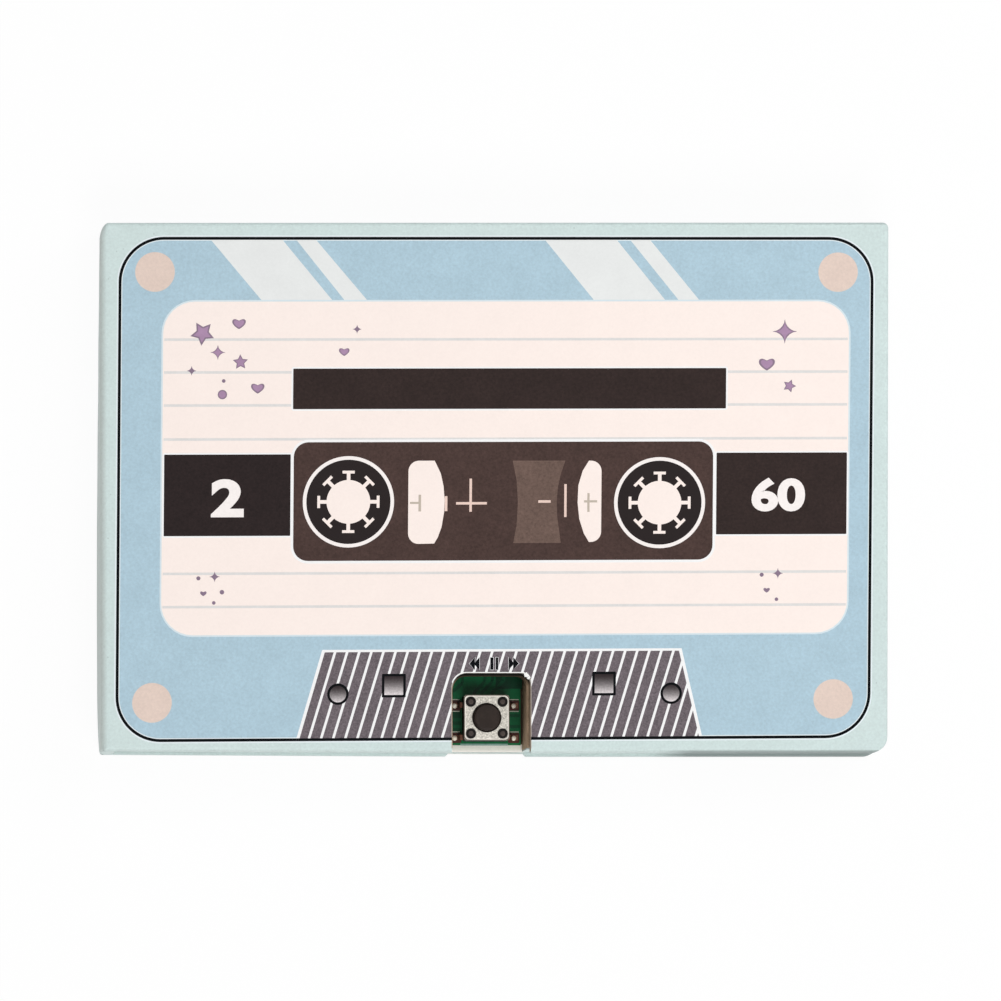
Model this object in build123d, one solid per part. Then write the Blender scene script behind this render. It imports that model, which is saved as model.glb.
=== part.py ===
from build123d import *
import math
import os

# Recordable greeting card, made like a small hard book whose cover lifts on the spine.
# It lies closed on its back: X along its width, Y up its front, Z up through its thickness.
# The origin is at the middle of the back, on the surface that the card rests on.
# All sizes are in millimetres.

# Card as a whole
card_w = 104.0
card_h = 70.0
card_t = 12.0
corner_r = 0.6
corner_r_high = 0.9
corner_r_worn = 2.2
edge_r = 0.5
fold_r = 1.0

# Papers and boards of the hard cover
wrap_t = 0.2
board_t = 1.8
liner_t = 0.15
turn_in_w = 8.0
liner_inset = 1.0
crease_gap = 0.2
hinge_slit = 0.05
lid_gap = 0.1
least_r = 0.05

# Tray of stacked board under the cover, and the page glued over it
layer_count = 3
tray_setback = 0.5
page_t = 0.3
page_inset = 0.3
pocket_gap = 0.4
pocket_r = 1.5

# Push switches with a sprung steel dome
switch_w = 6.0
switch_corner = 0.4
switch_h = 3.4
plate_t = 0.25
play_reach = 0.9
record_reach = 1.6
plunger_d = 3.5
plunger_gap = 0.2
flange_d = 4.4
flange_t = 0.6
flange_play = 0.03
cavity_d = 4.9
cavity_floor = 0.7
dome_d = 4.2
dome_rise = 0.5
dome_t = 0.1
foot_d = 1.6
rivet_d = 1.15
rivet_gap = 0.05
rivet_pitch = 4.2
rivet_head = 0.12
leg_w = 0.7
leg_t = 0.2
leg_pitch = 4.5
leg_span = 8.9
leg_exit_z = 0.9
leg_foot = 0.8

# Circuit board, with a tongue that carries the play switch into the notch
pcb_t = 1.0
tape_t = 0.3
tape_w = 6.0
board_margin = 0.6
leg_margin = 0.165
tongue_setback = 1.35
tongue_h = 4.2
play_switch_up = 4.8
play_switch_side = 0.17
pcb_gap = 0.3

# Notch through the cover, page and tray
tray_notch_step = 0.3
notch_x = -0.52
notch_h = 10.23
notch_r_left = 2.0
notch_r_right = 1.3

# Button cells and their clips
cell_count = 3
cell_d = 11.6
cell_t = 3.05
cell_gap = 1.0
cell_cap_d = 10.4
cell_cap_t = 0.3
cell_round = 0.5
clip_t = 0.2
clip_w = 4.0
clip_gap = 0.3
clip_foot = 1.0

# Small parts on the board
row_gap = 0.8
blob_d = 9.0
blob_h = 1.1
part_gap = 1.2
resistor_count = 5
resistor_size = (0.8, 1.6, 0.45)
resistor_pitch = 2.0
capacitor_count = 3
capacitor_size = (1.25, 2.0, 0.8)
capacitor_pitch = 3.0
small_row_gap = 2.6
transistor_size = (2.9, 1.3, 1.0)
transistor_leg = (0.4, 0.6, 0.15)
transistor_leg_pitch = 0.95
mic_d = 6.0
mic_t = 2.7
mic_lip = 0.3
mic_port_d = 2.0
mic_pin_d = 0.5
mic_pin_pitch = 2.54
mic_standoff = 0.4
record_hole_d = 8.0
mic_hole_d = 1.6
mic_window_d = 5.0
window_gap = 0.5

# Speaker, face up under the grille
speaker_d = 29.0
speaker_wall_w = 8.0
speaker_side = 8.2
rim_w = 0.9
sheet_t = 0.4
basket_depth = 1.9
gasket_t = 0.4
gasket_w = 1.9
cone_edge = 0.1
roll_w = 1.5
roll_h = 0.35
cone_drop = 0.55
cap_rise = 0.45
coil_d = 11.6
coil_wall = 0.3
coil_h = 2.0
yoke_d = 15.0
yoke_h = 2.85
yoke_wall = 1.0
yoke_floor = 0.8
magnet_d = 10.0
magnet_t = 1.3
pole_d = 10.4
pole_t = 0.6
vent_d = 3.0
vent_count = 4
lug_board_size = (2.6, 4.4, 1.0)
speaker_pad_d = 13.0
grille_hole_d = 1.8
grille_pitch = 3.6
grille_rings = 2

# Speaker wires
wire_d = 0.8
wire_pitch = 2.2
wire_rise_y = 1.6
wire_up = 10.8
wire_from_edge = 1.8
wire_room = 1.6
solder_d = 1.6
solder_h = 0.9
wire_lead = 3.2

# Levels
case_t = wrap_t + board_t + wrap_t + liner_t
cover_z0 = card_t - case_t
page_z1 = cover_z0 - lid_gap
page_z0 = page_z1 - page_t
layer_t = (page_z0 - case_t) / layer_count
deck_z0 = page_z0 - layer_t
pcb_z0 = case_t + tape_t
pcb_z1 = pcb_z0 + pcb_t

# Plan of the notch, the board and its pocket
left_x = -card_w / 2
right_x = card_w / 2
low_y = -card_h / 2
high_y = card_h / 2
spine_x = left_x + wrap_t + board_t
tongue_w = leg_span + 2 * leg_margin
notch_w = tongue_w + 2 * (pcb_gap + tray_notch_step)
notch_x0 = notch_x - notch_w / 2
notch_x1 = notch_x + notch_w / 2
notch_y1 = low_y + notch_h
clip_reach = cell_d / 2 + clip_gap + clip_t + clip_foot
row_h = max(blob_d, switch_w)
pcb_x1 = notch_x + tongue_w / 2
tongue_x0 = notch_x - tongue_w / 2
pcb_w = 2 * board_margin + cell_count * cell_d + (cell_count - 1) * cell_gap + part_gap + mic_d
pcb_x0 = pcb_x1 - pcb_w
tongue_y0 = low_y + tongue_setback
pcb_y0 = tongue_y0 + tongue_h
pcb_y1 = pcb_y0 + 2 * board_margin + row_h + row_gap + 2 * clip_reach
cell_y = pcb_y1 - board_margin - clip_reach
row_y = pcb_y0 + board_margin + row_h / 2
cell_x = [pcb_x0 + board_margin + cell_d / 2 + i * (cell_d + cell_gap) for i in range(cell_count)]
mic_x = cell_x[-1] + cell_d / 2 + part_gap + mic_d / 2
play_x = notch_x - play_switch_side
play_y = low_y + play_switch_up
record_x = pcb_x0 + board_margin + leg_span / 2
blob_x = record_x + leg_span / 2 + part_gap + blob_d / 2
small_x0 = blob_x + blob_d / 2 + part_gap

# Plan of the speaker and its wires
pocket_x1 = pcb_x1 + pcb_gap
speaker_r = speaker_d / 2
speaker_pocket_r = speaker_r + pocket_gap
speaker_x = pocket_x1 + speaker_wall_w + speaker_pocket_r
wire_y = pcb_y0 + wire_up
speaker_y = wire_y + wire_rise_y + speaker_side
lug_x = speaker_x - speaker_side
lug_y = speaker_y - speaker_side
solder_x = pcb_x1 - wire_from_edge


def box(x0, x1, y0, y1, z0, z1):
    """Block between two corners."""
    return Pos((x0 + x1) / 2, (y0 + y1) / 2, (z0 + z1) / 2) * Box(x1 - x0, y1 - y0, z1 - z0)


def disc(x, y, z0, z1, diameter):
    """Upright cylinder between two levels."""
    return Pos(x, y, (z0 + z1) / 2) * Cylinder(diameter / 2, z1 - z0)


def rounded(x0, x1, y0, y1, radii):
    """Rectangle with its own radius at the low left, low right, high right and high left."""
    shape = Pos((x0 + x1) / 2, (y0 + y1) / 2) * Rectangle(x1 - x0, y1 - y0)
    corners = [(x0, y0, 0), (x1, y0, 0), (x1, y1, 0), (x0, y1, 0)]
    for corner, radius in zip(corners, radii):
        if radius > 0:
            shape = fillet(shape.vertices().sort_by_distance(corner)[0], radius)
    return shape


def slab(sketch, z0, z1):
    """Plan outline raised between two levels."""
    return Pos(0, 0, z0) * extrude(sketch, z1 - z0)


def turned(sketch):
    """Profile of radius and height, turned round the Z axis."""
    return revolve(Plane.XZ * sketch, Axis.Z)


def inner(radius, inset):
    """Radius of a fold, taken in by the papers outside it."""
    return max(radius - inset, least_r)


def cap_arc(r, z0, rise):
    """Arc of a shallow cap, from its rim to its crown on the Z axis."""
    ball = (r * r + rise * rise) / (2 * rise)
    half = math.asin(r / ball) / 2
    middle = (ball * math.sin(half), z0 + rise - ball * (1 - math.cos(half)))
    return ThreePointArc((r, z0), middle, (0, z0 + rise))


def card_plan(inset, z0, z1):
    """Whole outline of the card, taken in by the inset."""
    radii = [inner(r, inset) for r in (corner_r, corner_r_worn, corner_r_high, corner_r)]
    outline = rounded(left_x + inset, right_x - inset, low_y + inset, high_y - inset, radii)
    return slab(outline, z0, z1)


def long_profile(inset, z0, z1, radii):
    """Section of the card across its spine, run up its height."""
    section = rounded(left_x + inset, right_x - inset, z0, z1, radii)
    return extrude(Plane.XZ * section, card_h, both=True)


def short_profile(inset, z0, z1, radii):
    """Section of the card up its height, run along its width."""
    section = rounded(low_y + inset, high_y - inset, z0, z1, radii)
    return extrude(Plane.YZ * section, card_w, both=True)


def cover_shape(inset, z0):
    """Front cover down to a level, with its folded edges."""
    z1 = card_t - inset
    fold = inner(fold_r, inset)
    edge = inner(edge_r, inset)
    along = long_profile(inset, z0, z1, [0, 0, edge, fold])
    across = short_profile(inset, z0, z1, [0, 0, edge, edge])
    return card_plan(inset, z0, z1) & along & across


def back_shape(inset, z1):
    """Back cover up to a level, with its folded edges."""
    fold = inner(fold_r, inset)
    edge = inner(edge_r, inset)
    along = long_profile(inset, inset, z1, [fold, edge, 0, 0])
    across = short_profile(inset, inset, z1, [edge, edge, 0, 0])
    return card_plan(inset, inset, z1) & along & across


def turn_in_window(z0, z1):
    """Part of a board's inner face that the turned-in paper leaves bare."""
    return box(left_x, right_x - turn_in_w, low_y + turn_in_w, high_y - turn_in_w, z0, z1)


def liner_shape(x0, sheet_z, fill_z):
    """Lining paper, filled out to the board inside the turned-in edges."""
    sheet = box(x0, right_x - liner_inset, low_y + liner_inset, high_y - liner_inset, *sheet_z)
    fill = box(x0, right_x - turn_in_w, low_y + turn_in_w, high_y - turn_in_w, *fill_z)
    return sheet + fill


def notch_plan(step):
    """Outline of the notch, open at the card's lower edge, narrower by a step each side."""
    radii = [0, 0, notch_r_right, notch_r_left]
    return rounded(notch_x0 + step, notch_x1 - step, low_y - notch_h, notch_y1, radii)


def notched(solid, step=0.0):
    """Solid with the notch cut right through it."""
    return solid - slab(notch_plan(step), -card_t, 2 * card_t)


def fold_wedge(z_edge, up):
    """Corner at a spine fold that belongs to the spine's paper and not to the cover's."""
    reach = fold_r - inner(fold_r, wrap_t) / math.sqrt(2) + wrap_t
    sign = 1 if up else -1
    inside = z_edge - sign * reach
    points = [
        (left_x - fold_r, z_edge + sign * fold_r),
        (left_x + reach, inside),
        (left_x + reach, z_edge - sign * case_t),
        (left_x - fold_r, z_edge - sign * case_t),
    ]
    return extrude(Plane.XZ * make_face(Polyline(*points, close=True)), card_h, both=True)


def cover_board():
    return notched(cover_shape(wrap_t, card_t - wrap_t - board_t))


def cover_wrap():
    z0 = cover_z0 + liner_t
    paper = cover_shape(0, z0) - cover_shape(wrap_t, z0 + wrap_t)
    paper = paper - turn_in_window(z0 - wrap_t, z0 + wrap_t)
    paper = paper - Pos(hinge_slit, 0, 0) * fold_wedge(card_t, True)
    return notched(paper)


def cover_liner():
    sheet = (cover_z0, cover_z0 + liner_t)
    fill = (cover_z0, cover_z0 + liner_t + wrap_t)
    return notched(liner_shape(left_x + liner_inset, sheet, fill))


def back_board():
    return back_shape(wrap_t, wrap_t + board_t)


def back_wrap():
    z1 = wrap_t + board_t + wrap_t
    paper = back_shape(0, z1) - back_shape(wrap_t, z1 - wrap_t)
    paper = paper - turn_in_window(z1 - wrap_t, z1 + wrap_t)
    return paper - fold_wedge(0, False)


def back_liner():
    sheet = (case_t - liner_t, case_t)
    fill = (case_t - liner_t - wrap_t, case_t)
    return liner_shape(spine_x, sheet, fill)


def spine_board():
    z0 = wrap_t + board_t + crease_gap
    left = box(left_x, spine_x, low_y, high_y, z0, page_z1)
    return card_plan(wrap_t, z0, page_z1) & left


def spine_wrap():
    fold = inner(fold_r, 0)
    inside = inner(fold_r, wrap_t)
    outer = long_profile(0, 0, card_t, [fold, 0, 0, fold])
    core = long_profile(wrap_t, wrap_t, card_t - wrap_t, [inside, 0, 0, inside])
    corners = fold_wedge(card_t, True) + fold_wedge(0, False)
    middle = box(left_x - fold_r, left_x + wrap_t, low_y, high_y, case_t, cover_z0)
    sheet = (outer - core) & (corners + middle) & card_plan(0, 0, card_t)
    z0 = wrap_t + board_t + crease_gap
    ends = card_plan(0, z0, page_z1) - card_plan(wrap_t, z0, page_z1)
    return sheet + (ends & box(left_x, spine_x, low_y, high_y, z0, page_z1))


def tray_plan(inset):
    """Outline of the tray against the spine board, taken in on its free sides."""
    side = tray_setback + inset
    radii = [0, inner(corner_r_worn, side), inner(corner_r_high, inset), 0]
    return rounded(spine_x, right_x - side, low_y + side, high_y - side, radii)


def board_plan(gap):
    """Outline of the circuit board with its tongue, grown by a gap."""
    body = rounded(pcb_x0 - gap, pcb_x1 + gap, pcb_y0 - gap, pcb_y1 + gap, [gap] * 4)
    return body + rounded(tongue_x0 - gap, pcb_x1 + gap, tongue_y0 - gap, pcb_y0 + row_h, [gap] * 4)


def wire_channel():
    """Way for the speaker wires from the board's pocket to the speaker's."""
    y0 = wire_y - wire_pitch / 2 - wire_room
    y1 = wire_y + wire_rise_y + wire_pitch / 2 + wire_room
    return rounded(pcb_x1, lug_x, y0, y1, [0] * 4)


def speaker_pocket():
    return Pos(speaker_x, speaker_y) * Circle(speaker_pocket_r)


def lower_layer(index):
    """Tray layer under the deck, open round the whole circuit board and the speaker."""
    way_out = rounded(tongue_x0 - pcb_gap, pcb_x1 + pcb_gap, low_y - notch_h, pcb_y0, [0] * 4)
    outline = tray_plan(wrap_t) - board_plan(pcb_gap) - way_out - wire_channel() - speaker_pocket()
    z0 = case_t + index * layer_t
    return slab(outline, z0, z0 + layer_t)


def deck_layer():
    """Top tray layer, which carries the page and opens only over what is tall."""
    half = switch_w / 2 + window_gap
    record = rounded(record_x - half, record_x + half, row_y - half, row_y + half, [window_gap] * 4)
    cells_x0 = pcb_x0 + board_margin - window_gap
    cells_x1 = cell_x[-1] + cell_d / 2 + window_gap
    reach = clip_reach - clip_foot + window_gap
    cells = rounded(cells_x0, cells_x1, cell_y - reach, cell_y + reach, [pocket_r] * 4)
    mic = Pos(mic_x, cell_y) * Circle(mic_window_d / 2)
    outline = tray_plan(wrap_t) - record - cells - mic - speaker_pocket()
    return notched(slab(outline, deck_z0, page_z0), tray_notch_step)


def tray_wrap():
    band = slab(tray_plan(0), case_t, page_z0) - slab(tray_plan(wrap_t), case_t, page_z0)
    return notched(band, tray_notch_step)


def grille():
    """Round holes in rings of six over the speaker."""
    places = [Pos(speaker_x, speaker_y)]
    for ring in range(1, grille_rings + 1):
        count = 6 * ring
        for i in range(count):
            angle = 360 / count * i
            places.append(Pos(speaker_x, speaker_y) * Rot(0, 0, angle) * Pos(ring * grille_pitch, 0))
    return Sketch() + [place * Circle(grille_hole_d / 2) for place in places]


def inner_page():
    side = tray_setback + page_inset
    radii = [0, inner(corner_r_worn, side), 0, 0]
    outline = rounded(spine_x + page_inset, right_x - side, low_y + side, high_y - side, radii)
    outline = outline - Pos(record_x, row_y) * Circle(record_hole_d / 2)
    outline = outline - Pos(mic_x, cell_y) * Circle(mic_hole_d / 2) - grille()
    return notched(slab(outline, page_z0, page_z1))


def pcb():
    return slab(board_plan(0), pcb_z0, pcb_z1)


def pcb_tape():
    """Two strips of double-sided tape under the board."""
    strips = []
    x0 = pcb_x0 + board_margin
    x1 = pcb_x1 - board_margin
    for y in (pcb_y0 + tape_w / 2 + board_margin, pcb_y1 - tape_w / 2 - board_margin):
        strips.append(box(x0, x1, y - tape_w / 2, y + tape_w / 2, case_t, pcb_z0))
    return strips


def switch_base():
    """Moulded base with a round well and four rivets, about its own centre on the board."""
    half = switch_w / 2
    top = switch_h - plate_t
    body = slab(rounded(-half, half, -half, half, [switch_corner] * 4), 0, top)
    body = body - disc(0, 0, cavity_floor, top, cavity_d)
    for place in GridLocations(rivet_pitch, rivet_pitch, 2, 2):
        body = body + place * disc(0, 0, top - plate_t, switch_h + rivet_head, rivet_d)
    return body


def switch_plate():
    """Steel cover plate with a hole for the plunger and one for each rivet."""
    half = switch_w / 2
    outline = rounded(-half, half, -half, half, [switch_corner] * 4) - Circle(plunger_d / 2 + plunger_gap)
    for place in GridLocations(rivet_pitch, rivet_pitch, 2, 2):
        outline = outline - place * Circle(rivet_d / 2 + rivet_gap)
    return slab(outline, switch_h - plate_t, switch_h)


def switch_dome():
    """Snap dome, a thin cap that stands on the floor of the well."""
    r = dome_d / 2
    crown = dome_rise - dome_t
    arcs = [cap_arc(r, 0, crown), cap_arc(r, dome_t, crown)]
    sides = [Line((r, 0), (r, dome_t)), Line((0, dome_rise), (0, crown))]
    return Pos(0, 0, cavity_floor) * turned(make_face(arcs + sides))


def switch_plunger(reach):
    """Plunger held under the plate by its flange, its foot on the dome."""
    flange_z1 = switch_h - plate_t - flange_play
    flange_z0 = flange_z1 - flange_t
    foot_z0 = cavity_floor + dome_rise + flange_play
    stem = disc(0, 0, flange_z1, switch_h + reach, plunger_d)
    stem = chamfer(stem.faces().sort_by(Axis.Z)[-1].edges(), 0.2)
    return stem + disc(0, 0, flange_z0, flange_z1, flange_d) + disc(0, 0, foot_z0, flange_z0, foot_d)


def switch_legs():
    """Four gull-wing legs from the sides of the base down to the board."""
    half = switch_w / 2
    toe = leg_span / 2
    bend = toe - leg_foot
    points = [
        (half, leg_exit_z), (bend, leg_exit_z), (bend, leg_t), (toe, leg_t),
        (toe, 0), (bend - leg_t, 0), (bend - leg_t, leg_exit_z - leg_t), (half, leg_exit_z - leg_t),
    ]
    leg = extrude(Plane.XZ * make_face(Polyline(*points, close=True)), leg_w / 2, both=True)
    legs = []
    for turn in (0, 180):
        for y in (-leg_pitch / 2, leg_pitch / 2):
            legs.append(Rot(0, 0, turn) * Pos(0, y, 0) * leg)
    return legs


def chip_blob():
    """Drop of black resin over the sound chip."""
    r = blob_d / 2
    profile = make_face([cap_arc(r, 0, blob_h), Line((0, blob_h), (0, 0)), Line((0, 0), (r, 0))])
    return Pos(blob_x, row_y, pcb_z1) * turned(profile)


def small_row(count, pitch, size, y):
    """Row of little blocks on the board."""
    blocks = []
    for i in range(count):
        x = small_x0 + size[0] / 2 + i * pitch
        blocks.append(Pos(x, y, pcb_z1 + size[2] / 2) * Box(*size))
    return blocks


def resistors():
    return small_row(resistor_count, resistor_pitch, resistor_size, row_y + small_row_gap / 2)


def capacitors():
    return small_row(capacitor_count, capacitor_pitch, capacitor_size, row_y - small_row_gap / 2)


def transistor():
    w, d, h = transistor_size
    leg_x, leg_y, leg_z = transistor_leg
    x = small_x0 + w / 2
    y = row_y - row_h / 2 + d / 2 + leg_y
    body = Pos(x, y, pcb_z1 + h / 2) * Box(w, d, h)
    for side, offsets in ((-1, (-transistor_leg_pitch, transistor_leg_pitch)), (1, (0,))):
        for offset in offsets:
            place = Pos(x + offset, y + side * (d + leg_y) / 2, pcb_z1 + leg_z / 2)
            body = body + place * Box(leg_x, leg_y, leg_z)
    return body


def microphone():
    """Round can with a rolled lip and a sound port in its face."""
    z0 = pcb_z1 + mic_standoff
    can = disc(mic_x, cell_y, z0, z0 + mic_t, mic_d)
    can = can - disc(mic_x, cell_y, z0, z0 + mic_lip, mic_d - 2 * mic_lip)
    can = can - disc(mic_x, cell_y, z0 + mic_t - mic_lip, z0 + mic_t, mic_port_d)
    return chamfer(can.faces().sort_by(Axis.Z)[-1].outer_wire().edges(), mic_lip / 2)


def microphone_pins():
    pins = []
    z1 = pcb_z1 + mic_standoff + mic_lip
    for side in (-1, 1):
        pins.append(disc(mic_x + side * mic_pin_pitch / 2, cell_y, pcb_z1, z1, mic_pin_d))
    return pins


def button_cell(index):
    """Cell lying on its can, with the smaller cap up."""
    r = cell_d / 2
    can_t = cell_t - cell_cap_t
    points = [(0, 0), (r, 0), (r, can_t), (cell_cap_d / 2, can_t), (cell_cap_d / 2, cell_t), (0, cell_t)]
    profile = make_face(Polyline(*points, close=True))
    for corner in ((r, 0, 0), (r, can_t, 0)):
        radius = min(cell_round, (r - cell_cap_d / 2) * 0.8)
        profile = fillet(profile.vertices().sort_by_distance(corner)[0], radius)
    return Pos(cell_x[index], cell_y, pcb_z1) * turned(profile)


def cell_clip(index):
    """Sprung strap over a cell, with a foot on the board at each end."""
    y = cell_d / 2 + clip_gap
    z = cell_t
    points = [
        (-y - clip_t - clip_foot, 0), (-y, 0), (-y, z), (y, z), (y, 0), (y + clip_t + clip_foot, 0),
        (y + clip_t + clip_foot, clip_t), (y + clip_t, clip_t), (y + clip_t, z + clip_t),
        (-y - clip_t, z + clip_t), (-y - clip_t, clip_t), (-y - clip_t - clip_foot, clip_t),
    ]
    strap = extrude(Plane.YZ * make_face(Polyline(*points, close=True)), clip_w / 2, both=True)
    return Pos(cell_x[index], cell_y, pcb_z1) * strap


# Levels and radii of the speaker, from its face down
rim_z1 = page_z0 - gasket_t - cone_edge
basket_z0 = rim_z1 - basket_depth
yoke_z1 = basket_z0 + sheet_t
yoke_z0 = yoke_z1 - yoke_h
magnet_z0 = yoke_z0 + yoke_floor
cone_z = rim_z1 - cone_drop
coil_z1 = cone_z
skirt_r = speaker_r - rim_w
gasket_r = speaker_r - gasket_w


def at_speaker(solid):
    return Pos(speaker_x, speaker_y, 0) * solid


def speaker_basket():
    """Pressed steel pan with a rim, a flat floor and round vents."""
    hole_r = yoke_d / 2
    points = [
        (hole_r, basket_z0), (skirt_r, basket_z0), (skirt_r, rim_z1 - sheet_t),
        (speaker_r, rim_z1 - sheet_t), (speaker_r, rim_z1), (skirt_r - sheet_t, rim_z1),
        (skirt_r - sheet_t, basket_z0 + sheet_t), (hole_r, basket_z0 + sheet_t),
    ]
    pan = turned(make_face(Polyline(*points, close=True)))
    vent_r = (hole_r + skirt_r) / 2
    for place in PolarLocations(vent_r, vent_count):
        pan = pan - place * disc(0, 0, basket_z0, basket_z0 + sheet_t, vent_d)
    return at_speaker(pan)


def speaker_yoke():
    r = yoke_d / 2
    cup = disc(0, 0, yoke_z0, yoke_z1, yoke_d) - disc(0, 0, magnet_z0, yoke_z1, 2 * (r - yoke_wall))
    return at_speaker(cup)


def speaker_magnet():
    return at_speaker(disc(0, 0, magnet_z0, magnet_z0 + magnet_t, magnet_d))


def speaker_pole_plate():
    z0 = magnet_z0 + magnet_t
    return at_speaker(disc(0, 0, z0, z0 + pole_t, pole_d))


def speaker_voice_coil():
    z0 = coil_z1 - coil_h
    ring = disc(0, 0, z0, coil_z1, coil_d) - disc(0, 0, z0, coil_z1, coil_d - 2 * coil_wall)
    return at_speaker(ring)


def cone_line(lift):
    """Section of the diaphragm: cap, cone, half roll and edge."""
    coil_r = coil_d / 2
    roll_r1 = gasket_r
    roll_r0 = roll_r1 - roll_w
    z = cone_z + lift
    edge_z = rim_z1 + lift
    roll_mid = ((roll_r0 + roll_r1) / 2, edge_z + roll_h)
    return [
        cap_arc(coil_r, z, cap_rise),
        Line((coil_r, z), (roll_r0, edge_z)),
        ThreePointArc((roll_r0, edge_z), roll_mid, (roll_r1, edge_z)),
        Line((roll_r1, edge_z), (speaker_r, edge_z)),
    ]


def speaker_cone():
    lower = cone_line(0)
    upper = cone_line(cone_edge)
    ends = [
        Line((0, cone_z + cap_rise), (0, cone_z + cap_rise + cone_edge)),
        Line((speaker_r, rim_z1), (speaker_r, rim_z1 + cone_edge)),
    ]
    return at_speaker(turned(make_face(lower + upper + ends)))


def speaker_gasket():
    z0 = page_z0 - gasket_t
    ring = disc(0, 0, z0, page_z0, speaker_d) - disc(0, 0, z0, page_z0, 2 * gasket_r)
    return at_speaker(ring)


def speaker_lug_board():
    w, d, h = lug_board_size
    return box(lug_x - w / 2, lug_x + w / 2, lug_y - d / 2, lug_y + d / 2, basket_z0 - h, basket_z0)


def speaker_pad():
    return at_speaker(disc(0, 0, case_t, yoke_z0, speaker_pad_d))


def wire_points(side):
    """Route of one wire from its solder joint on the board to the lug board."""
    z0 = pcb_z1 + wire_d / 2
    z1 = basket_z0 - lug_board_size[2] / 2
    start = solder_x + solder_d / 4
    end = lug_x - lug_board_size[0] / 2
    y0 = wire_y + side * wire_pitch / 2
    y1 = lug_y + side * wire_pitch / 2
    return [(start, y0, z0), (start + wire_lead, y0, z0), (end - wire_lead, y1, z1), (end, y1, z1)]


def bend_radii(points):
    """Radius at each corner: as large as the shorter of its two runs allows."""
    radii = []
    for a, b, c in zip(points, points[1:], points[2:]):
        first = Vector(*b) - Vector(*a)
        second = Vector(*c) - Vector(*b)
        turn = math.radians(first.get_angle(second))
        radii.append(0.45 * min(first.length, second.length) / math.tan(turn / 2))
    return radii


def speaker_wire(side):
    points = wire_points(side)
    radii = bend_radii(points)
    path = FilletPolyline(*points, radius=radii)
    tube = sweep(Plane(origin=points[0], z_dir=(1, 0, 0)) * Circle(wire_d / 2), path=path)
    print("wire radii", [round(r, 1) for r in radii], "length", round(path.length, 1),
          "volume ratio", round(tube.volume / (math.pi * wire_d ** 2 / 4 * path.length), 4))
    return tube


def solder_joints():
    """Solder on the board where each wire starts, flat where the wire's end meets it."""
    joints = []
    for side in (-1, 1):
        y = wire_y + side * wire_pitch / 2
        drop = Pos(solder_x, y, pcb_z1 + solder_h / 2) * Cone(solder_d / 2, solder_d / 4, solder_h)
        flat = solder_x + solder_d / 4
        beyond = box(flat, flat + solder_d, y - solder_d, y + solder_d, pcb_z1, pcb_z1 + solder_h)
        joints.append(drop - beyond)
    return joints


def switch_nodes(name, x, y, reach):
    """Pieces of one push switch, set down on the circuit board."""
    place = Pos(x, y, pcb_z1)
    return {
        name + "_switch_base": place * switch_base(),
        name + "_switch_plate": place * switch_plate(),
        name + "_switch_dome": place * switch_dome(),
        name + "_switch_legs": [place * leg for leg in switch_legs()],
        name + "_switch_plunger": place * switch_plunger(reach),
    }


def all_nodes():
    nodes = {
        "cover_board": cover_board(),
        "cover_wrap": cover_wrap(),
        "cover_liner": cover_liner(),
        "back_board": back_board(),
        "back_wrap": back_wrap(),
        "back_liner": back_liner(),
        "spine_board": spine_board(),
        "spine_wrap": spine_wrap(),
    }
    for i in range(layer_count - 1):
        nodes["tray_layer_" + str(i + 1)] = lower_layer(i)
    nodes["tray_deck"] = deck_layer()
    nodes["tray_wrap"] = tray_wrap()
    nodes["inner_page"] = inner_page()
    nodes["pcb"] = pcb()
    nodes["pcb_tape"] = pcb_tape()
    nodes.update(switch_nodes("play", play_x, play_y, play_reach))
    nodes.update(switch_nodes("record", record_x, row_y, record_reach))
    nodes["chip_blob"] = chip_blob()
    nodes["resistors"] = resistors()
    nodes["capacitors"] = capacitors()
    nodes["transistor"] = transistor()
    nodes["microphone"] = microphone()
    nodes["microphone_pins"] = microphone_pins()
    for i in range(cell_count):
        nodes["button_cell_" + str(i + 1)] = button_cell(i)
        nodes["cell_clip_" + str(i + 1)] = cell_clip(i)
    nodes["speaker_basket"] = speaker_basket()
    nodes["speaker_yoke"] = speaker_yoke()
    nodes["speaker_magnet"] = speaker_magnet()
    nodes["speaker_pole_plate"] = speaker_pole_plate()
    nodes["speaker_voice_coil"] = speaker_voice_coil()
    nodes["speaker_cone"] = speaker_cone()
    nodes["speaker_gasket"] = speaker_gasket()
    nodes["speaker_lug_board"] = speaker_lug_board()
    nodes["speaker_pad"] = speaker_pad()
    nodes["speaker_wire_red"] = speaker_wire(1)
    nodes["speaker_wire_black"] = speaker_wire(-1)
    nodes["solder_joints"] = solder_joints()
    return nodes


os.makedirs("parts", exist_ok=True)
for name, shape in all_nodes().items():
    if isinstance(shape, list):
        shape = Compound(children=shape)
    export_step(shape, "parts/" + name + ".step")
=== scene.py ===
import math

import bmesh
import bpy
from mathutils import Matrix, Vector, noise


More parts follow.
